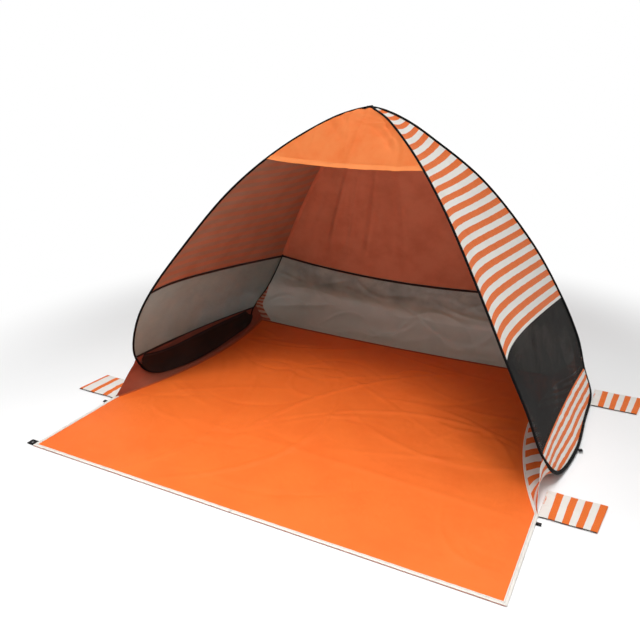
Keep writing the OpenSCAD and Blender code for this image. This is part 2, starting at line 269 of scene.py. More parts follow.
def new_mesh(name, verts, faces, materials, face_mats=None, uvs=None, shade=True):
    """A mesh object. uvs holds one (u, v) for each vertex of each face, in order."""
    data = bpy.data.meshes.new(name)
    data.from_pydata([tuple(map(float, v)) for v in verts], [], [tuple(map(int, f)) for f in faces])
    for m in materials:
        data.materials.append(m)
    if face_mats is not None:
        data.polygons.foreach_set("material_index", np.asarray(face_mats, np.int32))
    if uvs is not None:
        layer = data.uv_layers.new(name="cloth")
        layer.data.foreach_set("uv", np.asarray(uvs, np.float32).ravel())
    data.polygons.foreach_set("use_smooth", [shade] * len(data.polygons))
    data.update()
    obj = bpy.data.objects.new(name, data)
    bpy.context.scene.collection.objects.link(obj)
    return obj


def grid_normals(g):
    a = np.gradient(g, axis=0)
    b = np.gradient(g, axis=1)
    return unit(np.cross(a, b))


def looks_along(g, axis, sign=1):
    """True if the normal in the middle of a grid points along an axis."""
    return sign * grid_normals(g)[g.shape[0] // 2, g.shape[1] // 2, axis] > 0


def normals_towards(g, axis, sign=1):
    """A grid's normals, turned so that the middle one points along an axis."""
    return grid_normals(g) * (1 if looks_along(g, axis, sign) else -1)


def sheet(name, g, uv, outer, inner, thick=CLOTH, normals=None, flip=False):
    """A closed two-layer sheet over a grid of points. outer is the material of the side the
    normals point to, and inner the other side's. uv holds metres of cloth at each point."""
    n = grid_normals(g) if normals is None else normals
    if flip:
        n = -n
    rows, cols = g.shape[0], g.shape[1]
    ids = np.arange(rows * cols).reshape(rows, cols)
    half = rows * cols
    verts = np.concatenate([(g + n * thick / 2).reshape(-1, 3), (g - n * thick / 2).reshape(-1, 3)])
    a, b, c, d = ids[:-1, :-1].ravel(), ids[:-1, 1:].ravel(), ids[1:, 1:].ravel(), ids[1:, :-1].ravel()
    top = np.stack([a, d, c, b] if not flip else [a, b, c, d], axis=1)
    low = np.stack([a, b, c, d] if not flip else [a, d, c, b], axis=1) + half
    rim = np.concatenate([ids[0, :-1], ids[:-1, -1], ids[-1, :0:-1], ids[:0:-1, 0]])
    nxt = np.roll(rim, -1)
    first, second = (nxt, rim) if flip else (rim, nxt)
    edge = coords(first, second, second + half, first + half)
    faces = np.concatenate([top, low, edge])
    mats = np.concatenate([np.zeros(len(top)), np.ones(len(low)), np.zeros(len(edge))])
    flat = uv.reshape(-1, 2)
    obj = new_mesh(name, verts, faces, [outer, inner], mats, flat[faces % half])
    data = obj.data
    on_rim = set(map(int, rim)) | set(int(r) + half for r in rim)
    sharp = [
        (e.vertices[0] in on_rim and e.vertices[1] in on_rim and abs(e.vertices[0] - e.vertices[1]) < half)
        for e in data.edges
    ]
    data.attributes.new("sharp_edge", "BOOLEAN", "EDGE").data.foreach_set("value", sharp)
    return obj


def cloth_uv(g):
    """Metres along the rows and down the columns of a grid."""
    du = np.linalg.norm(np.diff(g, axis=1), axis=2)
    dv = np.linalg.norm(np.diff(g, axis=0), axis=2)
    u = np.concatenate([np.zeros((g.shape[0], 1)), np.cumsum(du, axis=1)], axis=1)
    v = np.concatenate([np.zeros((1, g.shape[1])), np.cumsum(dv, axis=0)], axis=0)
    return coords(u, v)


def swept(name, path, profile, up, materials, closed=False, sides=None, scale=None):
    """A solid with a closed cross-section swept along a path. The profile's points are
    (sideways, up), and sides gives the sideways direction where it is known."""
    n, m = len(path), len(profile)
    if closed:
        t = unit(np.roll(path, -1, axis=0) - np.roll(path, 1, axis=0))
    else:
        t = unit(np.gradient(path, axis=0))
    a = unit(np.cross(t, up)) if sides is None else sides
    b = unit(np.cross(a, t))
    k = np.ones(n) if scale is None else scale
    prof = np.asarray(profile, float)
    ring = path[:, None, :] + k[:, None, None] * (
        prof[None, :, :1] * a[:, None, :] + prof[None, :, 1:] * b[:, None, :]
    )
    verts = ring.reshape(-1, 3)
    spans = n if closed else n - 1
    i, j = np.meshgrid(np.arange(spans), np.arange(m), indexing="ij")
    i2, j2 = (i + 1) % n, (j + 1) % m
    quads = coords(i * m + j, i * m + j2, i2 * m + j2, i2 * m + j)
    faces = [tuple(f) for f in quads.reshape(-1, 4)]
    around = lengths(np.vstack([prof, prof[:1]]))
    run = lengths(np.vstack([path, path[:1]]))
    at_corners = [coords(run[i + p], around[j + q]) for p, q in ((0, 0), (0, 1), (1, 1), (1, 0))]
    uv = np.stack(at_corners, axis=-2).reshape(-1, 2)
    if not closed:
        for start, order in ((0, range(m - 1, -1, -1)), ((n - 1) * m, range(m))):
            faces.append(tuple(start + q for q in order))
            uv = np.concatenate([uv, prof[list(order)]])
    return new_mesh(name, verts, faces, materials, None, uv)


def circle(r, n, flat=1.0):
    a = np.linspace(0, 2 * math.pi, n, endpoint=False)
    return coords(r * np.cos(a), r * flat * np.sin(a))


def tape_profile(width, height, n=3):
    """A flat tape's cross-section with rounded edges."""
    r = height / 2
    a = np.linspace(-math.pi / 2, math.pi / 2, n + 2)
    right = coords(width / 2 - r + r * np.cos(a), r * np.sin(a))
    return np.concatenate([right, -right])


def joined(name, parts):
    """Several objects made into one."""
    with bpy.context.temp_override(
        active_object=parts[0], object=parts[0], selected_objects=parts, selected_editable_objects=parts
    ):
        bpy.ops.object.join()
    parts[0].name = name
    parts[0].data.name = name
    return parts[0]


# ---------------------------------------------------------------- materials


class Nodes:
    """A material's node tree, built with short calls."""

    def __init__(self, name):
        self.mat = bpy.data.materials.new(name)
        self.mat.use_nodes = True
        self.tree = self.mat.node_tree
        self.bsdf = self.tree.nodes["Principled BSDF"]
        self.out = self.tree.nodes["Material Output"]

    def node(self, kind, **values):
        n = self.tree.nodes.new(kind)
        for key, value in values.items():
            setattr(n, key, value)
        return n

    def put(self, socket, value):
        """Links a socket, or sets a plain value."""
        if isinstance(value, bpy.types.NodeSocket):
            self.tree.links.new(value, socket)
        else:
            socket.default_value = value

    def math(self, what, a, b=0.0, c=0.0, clamp=False):
        n = self.node("ShaderNodeMath", operation=what, use_clamp=clamp)
        for socket, value in zip(n.inputs, (a, b, c)):
            self.put(socket, value)
        return n.outputs[0]

    def uv(self):
        """The cloth's own coordinates, in metres: along the rows, and down them."""
        n = self.node("ShaderNodeUVMap", uv_map="cloth")
        s = self.node("ShaderNodeSeparateXYZ")
        self.put(s.inputs[0], n.outputs[0])
        return n.outputs[0], s.outputs[0], s.outputs[1]

    def plain(self, **values):
        """Sets the shader's own sockets, which have the same value all over the surface."""
        for key, value in values.items():
            self.bsdf.inputs[key.replace("_", " ")].default_value = value

    def shade(self, fac, colour, dark):
        """A share of a colour darkened by another."""
        return self.blend(fac, colour, self.blend(1.0, colour, dark, "MULTIPLY"))

    def place(self):
        return self.node("ShaderNodeTexCoord").outputs["Object"]

    def noise(self, where, scale, detail=2.0, rough=0.5, stretch=None):
        if stretch is not None:
            m = self.node("ShaderNodeMapping")
            self.put(m.inputs[0], where)
            m.inputs["Scale"].default_value = stretch
            where = m.outputs[0]
        n = self.node("ShaderNodeTexNoise")
        self.put(n.inputs["Vector"], where)
        n.inputs["Scale"].default_value = scale
        n.inputs["Detail"].default_value = detail
        n.inputs["Roughness"].default_value = rough
        return n.outputs["Fac"]

    def blend(self, fac, a, b, how="MIX"):
        n = self.node("ShaderNodeMix", data_type="RGBA", blend_type=how)
        self.put(n.inputs[0], fac)
        self.put(n.inputs[6], a)
        self.put(n.inputs[7], b)
        return n.outputs[2]

    def bump(self, height, distance, strength=1.0, normal=None):
        n = self.node("ShaderNodeBump")
        n.inputs["Strength"].default_value = strength
        n.inputs["Distance"].default_value = distance
        self.put(n.inputs["Height"], height)
        if normal is not None:
            self.put(n.inputs["Normal"], normal)
        return n.outputs[0]

    def between(self, value, lo, hi):
        """A smooth step of a value between two bounds."""
        n = self.node("ShaderNodeMapRange", interpolation_type="SMOOTHSTEP")
        self.put(n.inputs["Value"], value)
        n.inputs["From Min"].default_value = lo
        n.inputs["From Max"].default_value = hi
        return n.outputs["Result"]

    def stripe(self, value, period, share, soft=0.01, shift=0.0):
        """1 within the stripes of a value, each a share of the period wide."""
        turn = self.math("FRACT", self.math("ADD", self.math("DIVIDE", value, period), shift))
        up = self.between(turn, 0.0, soft)
        down = self.between(turn, share, share + soft)
        return self.math("SUBTRACT", up, down, clamp=True)

    def weave(self, u, v, pitch):
        """The height of a plain weave: threads that pass over and under each other."""
        k = 2 * math.pi / pitch
        warp = self.math("SINE", self.math("MULTIPLY", u, k))
        weft = self.math("SINE", self.math("MULTIPLY", v, k))
        return self.math("MULTIPLY", warp, weft)


def rgb(r, g, b):
    """A colour given in screen values from 0 to 255."""
    def linear(c):
        c /= 255
        return c / 12.92 if c <= 0.04045 else ((c + 0.055) / 1.055) ** 2.4
    return (linear(r), linear(g), linear(b), 1.0)


THREAD = 0.0011
ORANGE = rgb(232, 112, 40)
WHITE = rgb(234, 230, 224)


def fabric(name, colour, dark, rough=0.6, sheen=0.04, stripes=None, glow=0.0, mottle=0.35, wobble=0.0035):
    """Coated polyester taffeta: a plain weave with faint slubs and creases, and stripes
    across the cloth where they are given, as (period, share, shift, colour between)."""
    n = Nodes(name)
    where, u, v = n.uv()
    base = colour
    if stripes:
        period, share, shift, other = stripes
        stray = n.math("MULTIPLY", n.math("SUBTRACT", n.noise(where, 20.0, 2.0), 0.5), wobble)
        mask = n.stripe(n.math("ADD", v, stray), period, share, 0.012, shift)
        base = n.blend(mask, other, colour)
    broad = n.noise(where, 7.0, 4.0, 0.6)
    tint = n.math("MULTIPLY", n.between(broad, 0.35, 0.75), mottle)
    base = n.shade(tint, base, dark)
    slubs = n.noise(where, 60.0, 3.0, 0.7, (1.0, 14.0, 1.0))
    slub_tint = n.math("MULTIPLY", n.between(slubs, 0.5, 0.8), 0.12)
    base = n.shade(slub_tint, base, dark)
    weave = n.weave(u, v, THREAD)
    thread = n.math("MULTIPLY", n.math("ADD", weave, 1.0), 0.04)
    base = n.shade(thread, base, dark)
    n.put(n.bsdf.inputs["Base Color"], base)
    wear = n.math("MULTIPLY_ADD", broad, 0.2, rough - 0.1)
    n.put(n.bsdf.inputs["Roughness"], wear)
    n.plain(Sheen_Weight=sheen, Sheen_Roughness=0.4, Specular_IOR_Level=0.25)
    small = n.bump(n.noise(where, 26.0, 4.0, 0.6), 0.004, 0.5)
    n.put(n.bsdf.inputs["Normal"], n.bump(weave, 0.00025, 0.5, small))
    if glow:
        through = n.node("ShaderNodeBsdfTranslucent")
        n.put(through.inputs["Color"], base)
        both = n.node("ShaderNodeMixShader")
        both.inputs[0].default_value = glow
        n.put(both.inputs[1], n.bsdf.outputs[0])
        n.put(both.inputs[2], through.outputs[0])
        n.put(n.out.inputs["Surface"], both.outputs[0])
    return n.mat


def netting(name, colour, light, solid, pitch=0.0016, rough=0.7, paler_low=None):
    """Fine knitted net: holes on a hexagon-like grid that let a share of the view through.
    solid is the share that the threads cover. The base turns paler low down, between two values of v."""
    n = Nodes(name)
    where, u, v = n.uv()
    k = math.pi / pitch
    a = n.math("SINE", n.math("MULTIPLY", n.math("ADD", u, v), k))
    b = n.math("SINE", n.math("MULTIPLY", n.math("SUBTRACT", u, v), k))
    grid = n.math("MULTIPLY", n.math("ABSOLUTE", a), n.math("ABSOLUTE", b))
    broad = n.noise(where, 6.0, 4.0, 0.6)
    fold = n.between(broad, 0.3, 0.75)
    cover = n.math("MULTIPLY_ADD", fold, 0.05, solid - 0.02)
    hole = n.between(grid, 0.45, 0.75)
    open_share = n.math("MULTIPLY", n.math("SUBTRACT", 1.0, cover), 3.2)
    alpha = n.math("SUBTRACT", 1.0, n.math("MULTIPLY", hole, open_share), clamp=True)
    base = n.blend(n.math("MULTIPLY", fold, 0.5), colour, light)
    if paler_low:
        high, low = paler_low
        paler_share = n.between(n.math("MULTIPLY_ADD", broad, 0.03, v), high, low)
        base = n.blend(n.math("MULTIPLY", paler_share, 0.75), base, light)
    base = n.shade(n.math("MULTIPLY", grid, 0.25), base, (0.5, 0.5, 0.5, 1))
    n.put(n.bsdf.inputs["Base Color"], base)
    n.put(n.bsdf.inputs["Alpha"], alpha)
    n.plain(Roughness=rough, Sheen_Weight=0.03, Specular_IOR_Level=0.12)
    small = n.bump(n.noise(where, 22.0, 4.0, 0.6), 0.004, 0.5)
    n.put(n.bsdf.inputs["Normal"], n.bump(grid, 0.0003, 0.6, small))
    return n.mat


def tape(name, colour, light, rib=0.0012, across=False, rough=0.6, stitch=None, gloss=0.3):
    """Woven binding or webbing with ribs along it, and a dashed line of stitches where
    stitch gives (distance across, stitch length, colour)."""
    n = Nodes(name)
    where, u, v = n.uv()
    run, side = (v, u) if across else (u, v)
    ribs = n.math("SINE", n.math("MULTIPLY", run, 2 * math.pi / rib))
    cords = n.math("SINE", n.math("MULTIPLY", side, 2 * math.pi / (rib * 1.6)))
    height = n.math("MULTIPLY_ADD", cords, 0.5, ribs)
    worn = n.noise(where, 38.0, 4.0, 0.7)
    base = n.blend(n.math("MULTIPLY", n.between(worn, 0.45, 0.8), 0.6), colour, light)
    base = n.blend(n.math("MULTIPLY", n.math("ADD", ribs, 1.0), 0.08), base, light)
    if stitch:
        at, length, thread = stitch
        dash = n.stripe(run, length, 0.68, 0.08)
        off = n.math("ABSOLUTE", n.math("SUBTRACT", side, at))
        line = n.math("SUBTRACT", 1.0, n.between(off, 0.0003, 0.0006))
        mark = n.math("MULTIPLY", dash, line)
        base = n.blend(mark, base, thread)
        height = n.math("MULTIPLY_ADD", mark, 3.0, height)
    n.put(n.bsdf.inputs["Base Color"], base)
    n.put(n.bsdf.inputs["Roughness"], n.math("MULTIPLY_ADD", worn, 0.25, rough - 0.1))
    n.plain(Sheen_Weight=0.02, Specular_IOR_Level=gloss)
    small = n.bump(worn, 0.0012, 0.5)
    n.put(n.bsdf.inputs["Normal"], n.bump(height, 0.00025, 0.6, small))
    return n.mat


def metal(name, colour, rough):
    n = Nodes(name)
    where = n.place()
    streaks = n.noise(where, 220.0, 4.0, 0.6, (1.0, 1.0, 9.0))
    n.put(n.bsdf.inputs["Base Color"], n.blend(n.math("MULTIPLY", streaks, 0.5), colour, rgb(120, 122, 125)))
    n.plain(Metallic=1.0)
    n.put(n.bsdf.inputs["Roughness"], n.math("MULTIPLY_ADD", streaks, 0.3, rough))
    n.put(n.bsdf.inputs["Normal"], n.bump(streaks, 0.0002, 0.4))
    return n.mat


DARKER = (0.72, 0.6, 0.52, 1)
SOFT_SHADE = (0.8, 0.78, 0.76, 1)
PALE_SHADE = (0.86, 0.84, 0.82, 1)
M_STRIPES = fabric("striped_outer", ORANGE, PALE_SHADE, stripes=(0.046, 0.5, 0.0, WHITE), mottle=0.2)
M_STRIPES_SMALL = fabric(
    "striped_lower", ORANGE, PALE_SHADE, stripes=(0.027, 0.5, 0.25, WHITE), mottle=0.3, wobble=0.009
)
M_STRIPES_GUSSET = fabric(
    "striped_gusset", ORANGE, SOFT_SHADE, stripes=(0.05, 0.5, 0.3, WHITE), mottle=0.4, wobble=0.014
)
M_STRIPES_POCKET = fabric(
    "striped_pocket", ORANGE, SOFT_SHADE, stripes=(0.042, 0.5, 1 / 3, WHITE), mottle=0.4,
    wobble=0.003,
)
M_STRIPES_SPARSE = fabric(
    "striped_pocket_left", ORANGE, SOFT_SHADE, stripes=(0.064, 0.34, 0.5, WHITE), mottle=0.4,
    wobble=0.003,
)
M_INSIDE = fabric(
    "striped_inner", rgb(192, 140, 112), DARKER, stripes=(0.046, 0.5, 0.0, rgb(172, 146, 124)), mottle=0.4
)
M_INSIDE_LOW = fabric("lower_inner", rgb(158, 90, 74), DARKER, mottle=0.4)
# painted shade: the left gusset's upper face is plain brown in place of its stripes, for the shade it lies in
M_GUSSET_SHADED = fabric("gusset_painted_shade", rgb(160, 88, 66), DARKER, mottle=0.6)
M_CORNER_IN = fabric(
    "corner_inner", rgb(186, 104, 76), DARKER, stripes=(0.021, 0.5, 0.0, rgb(206, 170, 148)), wobble=0.01
)
# painted light: the visor's cloth and its hem are a paler orange than the other orange cloth, for the light
# on the roof; the visor's strong mottle darkens patches as painted shade of its folds
M_VISOR_PAINTED_LIGHT = fabric("visor_painted_light", rgb(255, 162, 88), (0.95, 0.66, 0.42, 1), glow=0.4, mottle=0.8)
M_VISOR_HEM_PAINTED_LIGHT = fabric("visor_hem", rgb(250, 146, 78), DARKER, mottle=0.3)
M_REAR = fabric("rear_inner", rgb(216, 144, 112), DARKER, mottle=0.55)
M_REAR_OUT = fabric("rear_outer", rgb(236, 110, 48), DARKER, mottle=0.3)
M_FLOOR = fabric("floor_orange", rgb(252, 120, 46), (0.86, 0.68, 0.5, 1), rough=0.5, sheen=0.0, mottle=0.35)
M_FLOOR_LOW = fabric("floor_underside", rgb(150, 70, 36), DARKER, rough=0.5)
M_NET_DARK = netting("net_dark", rgb(24, 22, 20), rgb(40, 37, 34), 0.66)
# painted light: grey inner face of the black net, for the bright light seen through it
M_NET_BACKLIT = netting("net_painted_backlight", rgb(136, 166, 160), rgb(168, 192, 184), 0.9)
# painted light: the rear net's inner face is grey, for the light seen through the black net
M_NET_REAR_BACKLIT = netting("net_rear_painted_backlight", rgb(136, 146, 134), rgb(214, 222, 208), 0.9, paler_low=(-0.19, -0.12))
M_NET_STORE = netting("net_storage", rgb(44, 32, 28), rgb(70, 52, 46), 0.92)
M_BINDING = tape(
    "binding_black", rgb(10, 10, 11), rgb(22, 22, 24), rough=0.8,
    stitch=(0.012, 0.004, rgb(36, 36, 38)), gloss=0.12,
)
M_TAPE = tape("seam_tape", rgb(34, 22, 20), rgb(56, 40, 36), stitch=(0.0025, 0.0035, rgb(70, 52, 48)))
M_WEBBING = tape("webbing_black", rgb(12, 12, 13), rgb(28, 28, 30), rib=0.0018, gloss=0.15)
M_HEM = tape("hem_white", rgb(240, 236, 228), rgb(208, 202, 194), stitch=(0.004, 0.004, rgb(172, 166, 158)))
# painted shade: the floor's white binding where it lies in shade, coloured a darker orange-brown
M_HEM_SHADED = tape("hem_painted_shade", rgb(196, 84, 38), rgb(160, 66, 34), stitch=(0.004, 0.004, rgb(120, 52, 30)))
M_DARK_EDGE = tape("edge_dark", rgb(60, 48, 44), rgb(90, 76, 70))
M_STEEL = metal("spring_steel", rgb(196, 198, 202), 0.3)
M_CRIMP = metal("crimp_steel", rgb(168, 170, 174), 0.4)
M_EYELET = metal("eyelet_black", rgb(52, 52, 55), 0.45)

# ---------------------------------------------------------------- how the pieces ride


def riding(obj, body, slot, *nodes):
    """A piece on a CAD body, and the CAD nodes that it stands for, which it hides. The slot is not used."""
    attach(obj, body)
    if nodes:
        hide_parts(*nodes)
    return obj


def with_fold(obj, side, slot, *nodes):
    """A half of the cloth between the hoops: it rides on its hoop, with a mesh of its own."""
    riding(obj, f"{NAMES[side]}_hoop", slot, *nodes)
    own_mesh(obj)


def on_hoop(obj, side, slot, *nodes):
    riding(obj, f"{NAMES[side]}_hoop", slot, *nodes)


def flat_size(g):
    """The width, length and area of the flat cloth behind a grid."""
    row = np.linalg.norm(np.diff(g, axis=1), axis=2).sum(axis=1)
    col = np.linalg.norm(np.diff(g, axis=0), axis=2).sum(axis=0)
    a, b = g[1:, :-1] - g[:-1, :-1], g[:-1, 1:] - g[:-1, :-1]
    c, d = g[1:, :-1] - g[1:, 1:], g[:-1, 1:] - g[1:, 1:]
    area = (np.linalg.norm(np.cross(a, b), axis=2) + np.linalg.norm(np.cross(c, d), axis=2)).sum() / 2
    width, length = float(row.max()), float(col.max())
    return (width, length), float(min(area, width * length))


def declare(g):
    flat, area = flat_size(g)
    if area < 0.3 * flat[0] * flat[1]:
        flat = (flat[0], area / (0.31 * flat[0]))


def halves(name, g, uv, outer, inner, slot, nodes, flip=False, thick=CLOTH, as_sheet=True):
    """A sheet between the hoops, split at the middle plane into a left and a right half."""
    n = grid_normals(g)
    middle = g.shape[1] // 2
    made = {}
    for side, cols in ((LEFT, slice(0, middle + 1)), (RIGHT, slice(middle, None))):
        part = g[:, cols]
        obj = sheet(f"{NAMES[side]}_{name}", part, uv[:, cols], outer, inner, thick, n[:, cols], flip)
        with_fold(obj, side, slot, *nodes)
        if as_sheet:
            declare(part)
        made[side] = obj
    return made


# ---------------------------------------------------------------- sleeves


def sleeve(side):
    """The binding around the wire: one closed tube, thicker along the foot, with small gathers."""
    count = SPANS * 22
    s = np.arange(count) * SPANS / count
    # behind, the binding stands a little proud of the cloth
    proud = 0.0018 * smooth(SPANS - LOWER, SPANS - LOWER + 1, s) * (1 - smooth(SPANS - 0.8, SPANS, s))
    path = hoop(side, s) + proud[:, None] * outward(side, 1)
    foot = smooth(LOWER, LOWER + 0.6, s) * (1 - smooth(SPANS - LOWER - 1.6, SPANS - LOWER, s))
    run = lengths(path)
    gather = 0.02 * np.sin(run * 2 * math.pi / 0.043) * np.sin(run * 2 * math.pi / 0.31)
    low = smooth(1, LOWER, np.minimum(s, SPANS - s))
    behind = smooth(SPANS - LOWER, SPANS - LOWER + 1, s) * (1 - smooth(SPANS - 0.6, SPANS, s))
    radius = mix(mix(mix(BINDING_TOP_R, BINDING_R, low), BINDING_REAR_R, behind), BINDING_FOOT_R, foot)
    radius *= 1 + gather + 0.03 * foot * np.sin(run * 520)
    out = outward(side, count)
    obj = swept(f"{NAMES[side]}_sleeve", path, circle(1.0, 18), out, [M_BINDING], closed=True, scale=radius)
    # the profile has a radius of one, so the lengths across are put right in the UVs
    layer = obj.data.uv_layers["cloth"].data
    uv = np.empty(len(layer) * 2, np.float32)
    layer.foreach_get("uv", uv)
    uv[1::2] *= BINDING_R
    layer.foreach_set("uv", uv)
    on_hoop(
        obj,
        side,
        "black_binding",
        *(f"{NAMES[side]}_{n}" for n in ("sleeve_front", "sleeve_foot", "sleeve_rear")),
    )


# ---------------------------------------------------------------- the leaf on each side

LEAF_COLS = 96


def from_line(points, line):
    """How far each point is from a line of points."""
    a, b = line[:-1], line[1:]
    d = b - a
    p = points[..., None, :] - a
    t = np.clip(np.sum(p * d, axis=-1) / np.sum(d * d, axis=-1), 0, 1)
    return np.linalg.norm(p - t[..., None] * d, axis=-1).min(axis=-1)


def upper_seam(u):
    """The seam between the stripes and the net: it hooks down towards the front run."""
    peak = 0.507
    return UPPER - UPPER_ARCH * u * (1 - u) / (u + 0.12) / peak


def lower_seam(u):
    """The seam between the net and the lower stripes: an even arch."""
    return LOWER - LOWER_ARCH * 4 * u * (1 - u)


def leaf_grid(side, s0, s1, rows, cols=LEAF_COLS, ease=1):
    """A band of the leaf between two seams, which are functions of u. The second seam's
    bend dies out upwards with ease."""
    u, f = spread_out(np.linspace(0, 1, cols + 1), np.linspace(0, 1, rows + 1))
    straight = s1(0 * u)
    s = mix(s0(u), straight, f) + (s1(u) - straight) * f**ease
    g = leaf(side, s, u)
    return g, normals_towards(g, 0, side), s, u, f


def leaf_sag(s, u):
    """How far the cloth dips inwards between the two runs: most near the apex."""
    return 0.011 * np.sin(math.pi * np.clip((s - 0.2) / (UPPER - 0.2), 0, 1)) ** 0.8 * 4 * u * (1 - u)


def leaf_side(side):
    name = NAMES[side]
    dark = side == RIGHT
    # striped panel
    g, n, s, u, f = leaf_grid(side, lambda u: 0.3 + 0 * u, lambda u: upper_seam(u) + 0.03, 130, ease=2.2)
    field = wave_noise(26, 0.12, 0.6)
    soft = creases(16, (0, 0, 0.7, 1.0), 0.3, 0.012, (0, math.pi))
    uv = cloth_uv(g)
    # the stripes follow the rows, so the lengths down the cloth are the middle column's
    length = lengths(g[:, LEAF_COLS // 2])
    # and they hang a little in the middle, most near the apex
    wide = np.linalg.norm(g[:, -1] - g[:, 0], axis=-1)[:, None]
    hang = wide * (1 - f) * (0.03 * 4 * u * (1 - u) + 0.1 * (u - 0.5))
    uv[..., 1] = (length - length[-1] - 0.0115)[:, None] - hang
    edge = np.minimum(1, np.minimum(u, 1 - u) * 9) * np.minimum(1, (1 - f) * 12)
    wave = 0.0035 * field(uv[..., 0], uv[..., 1]) + 0.0016 * soft(uv[..., 0], -uv[..., 1])
    g = g + n * ((wave * edge) - leaf_sag(s, u) * np.minimum(1, (1 - f) * 4))[..., None]
    out = looks_along(g, 0, side)
    panel = sheet(f"{name}_upper_cloth", g + n * 0.0007, uv, M_STRIPES, M_INSIDE, flip=not out)
    on_hoop(panel, side, "striped_fabric", f"{name}_upper_panel")
    declare(g)

    # mesh window
    g, n, s, u, f = leaf_grid(side, lambda u: upper_seam(u) - 0.03, lambda u: lower_seam(u) + 0.03, 60)
    field = wave_noise(22, 0.08, 0.5)
    uv = cloth_uv(g)
    edge = np.minimum(1, np.minimum(u, 1 - u) * 8) * np.minimum(1, np.minimum(f, 1 - f) * 7)
    wave = 0.005 * field(uv[..., 0], uv[..., 1]) * edge
    g = g + n * (wave - 0.0006)[..., None]
    out = looks_along(g, 0, side)
    # on the left the inner face is painted light: grey for the light seen through the black net
    window = sheet(
        f"{name}_window_net", g, uv, M_NET_DARK, M_NET_DARK if dark else M_NET_BACKLIT, NET, flip=not out
    )
    on_hoop(window, side, "grey_mesh", f"{name}_mesh_window")
    declare(g)

    # crescent down to the foot
    u, w = spread_out(mix(0.02, 0.98, np.linspace(0, 1, 121)), np.linspace(0, 1, 31))
    high = leaf(side, lower_seam(u) - 0.03, u)
    s = mix(LOWER, SPANS - LOWER, u)
    g = mix(high, tucked(side, s, high), w[..., None])
    n = normals_towards(g, 0, side)
    depth = from_line(g, high[0])
    length = lengths(high[0])
    uv = coords(length[None, :] * np.ones((31, 1)), depth)
    ripple = wave_noise(16, 0.03, 0.12, (-0.5, 0.5))
    wide = np.minimum(1, w * 6) * np.minimum(1, (1 - w) * 8)
    g = g + n * (0.0022 * ripple(uv[..., 0], uv[..., 1]) * np.clip(wide, 0, 1) + 0.0007)[..., None]
    out = looks_along(g, 0, side)
    crescent = sheet(f"{name}_lower_cloth", g, uv, M_STRIPES_SMALL, M_INSIDE_LOW, flip=not out)
    on_hoop(crescent, side, "striped_fabric", f"{name}_lower_panel")
    declare(g)

    # seam tapes on the inside
    for tag, seam in (("upper_seam", upper_seam), ("lower_seam", lower_seam)):
        u = np.linspace(0.004, 0.996, 121)
        path = leaf(side, seam(u), u)
        below = leaf(side, seam(u) + 0.05, u)
        down = unit(below - path)
        tangent = unit(np.gradient(path, axis=0))
        normal = unit(np.cross(tangent, down))
        inside = normal * np.where(side * normal[:, :1] > 0, -1, 1)
        profile = tape_profile(SEAM_TAPE_W, SEAM_TAPE_T)
        obj = swept(f"{name}_{tag}_tape", path + inside * SEAM_TAPE_IN, profile, None, [M_TAPE], sides=down)
        on_hoop(obj, side, "black_binding", f"{name}_{tag}")


# ---------------------------------------------------------------- cloth between the hoops

WIDE_COLS = 160


def across(s, c, lift, back):
    """Between the two hoops at place s, from the left (c = -1) to the right (c = 1)."""
    left, right = hoop(LEFT, s), hoop(RIGHT, s)
    a = left + unit(right - left) * TUCK
    b = right + unit(left - right) * TUCK
    p = mix(a, b, ((c + 1) / 2)[..., None])
    middle = 1 - c * c
    p[..., 1] += back * middle
    p[..., 2] += lift * middle
    return p


def wide_grid(rows):
    return spread_out(np.linspace(-1, 1, WIDE_COLS + 1), np.linspace(0, 1, rows + 1))


def visor():
    end = VISOR_END
    band = 0.09
    field = wave_noise(20, 0.08, 0.35)
    fan = creases(22, (-0.22, -0.22, 0.22, -0.02), 0.26, 0.012, (0.5, 2.6))

    def surface(s, c):
        f = (s - 0.3) / (end - 0.3)
        g = across(s, c, -0.012 * f**2, 0)
        x, y = g[..., 0], g[..., 1]
        edge = np.minimum(1, (1 - np.abs(c)) * 7) * (1 - 0.75 * smooth(0.7, 1.0, f))
        pucker = 0.0009 * np.sin(x * 2 * math.pi / 0.061 + 2.3 * np.sin(x * 9)) * smooth(0.72, 0.95, f)
        g[..., 2] += (0.008 * field(x, y) + 0.008 * fan(x, y) + pucker) * edge
        return g

    c, f = wide_grid(70)
    s = mix(0.3, end - band + 0.01, f)
    g = surface(s, c)
    uv = coords(g[..., 0], -g[..., 1] * 1.2)
    up = looks_along(g, 2)
    halves("visor_cloth", g, uv, M_VISOR_PAINTED_LIGHT, M_VISOR_PAINTED_LIGHT, "orange_fabric", ["visor"], flip=not up)
    c, f = wide_grid(8)
    s = mix(end - band, end, f)
    g = surface(s, c)
    g[..., 2] += 0.0004
    uv = coords(g[..., 0], -g[..., 1] * 1.2)
    up = looks_along(g, 2)
    halves(
        "visor_band", g, uv, M_VISOR_HEM_PAINTED_LIGHT, M_VISOR_HEM_PAINTED_LIGHT, "orange_fabric", ["visor_hem"],
        flip=not up, thick=0.0018, as_sheet=False,
    )


REAR_FROM = SPANS - 0.35
REAR_TO = SPANS - UPPER


def rear_surface(s, c):
    f = (REAR_FROM - s) / (REAR_FROM - REAR_TO)
    return across(s, c, -REAR_SAG * f * f, -REAR_FLAT * f)


def rear_folds():
    """Soft folds that fan down from the apex over the rear wall."""
    count = 13
    at = RANDOM.uniform(-0.85, 0.85, count)
    width = RANDOM.uniform(0.025, 0.08, count)
    height = RANDOM.uniform(0.3, 1, count) * RANDOM.choice((-1, 1), count)
    lean = RANDOM.uniform(-0.25, 0.25, count)

    def field(c, f):
        c, f = c[..., None], f[..., None]
        off = c - at - lean * (f - 0.5)
        return np.sum(height * np.exp(-((off / width) ** 2)), axis=-1)

    return field


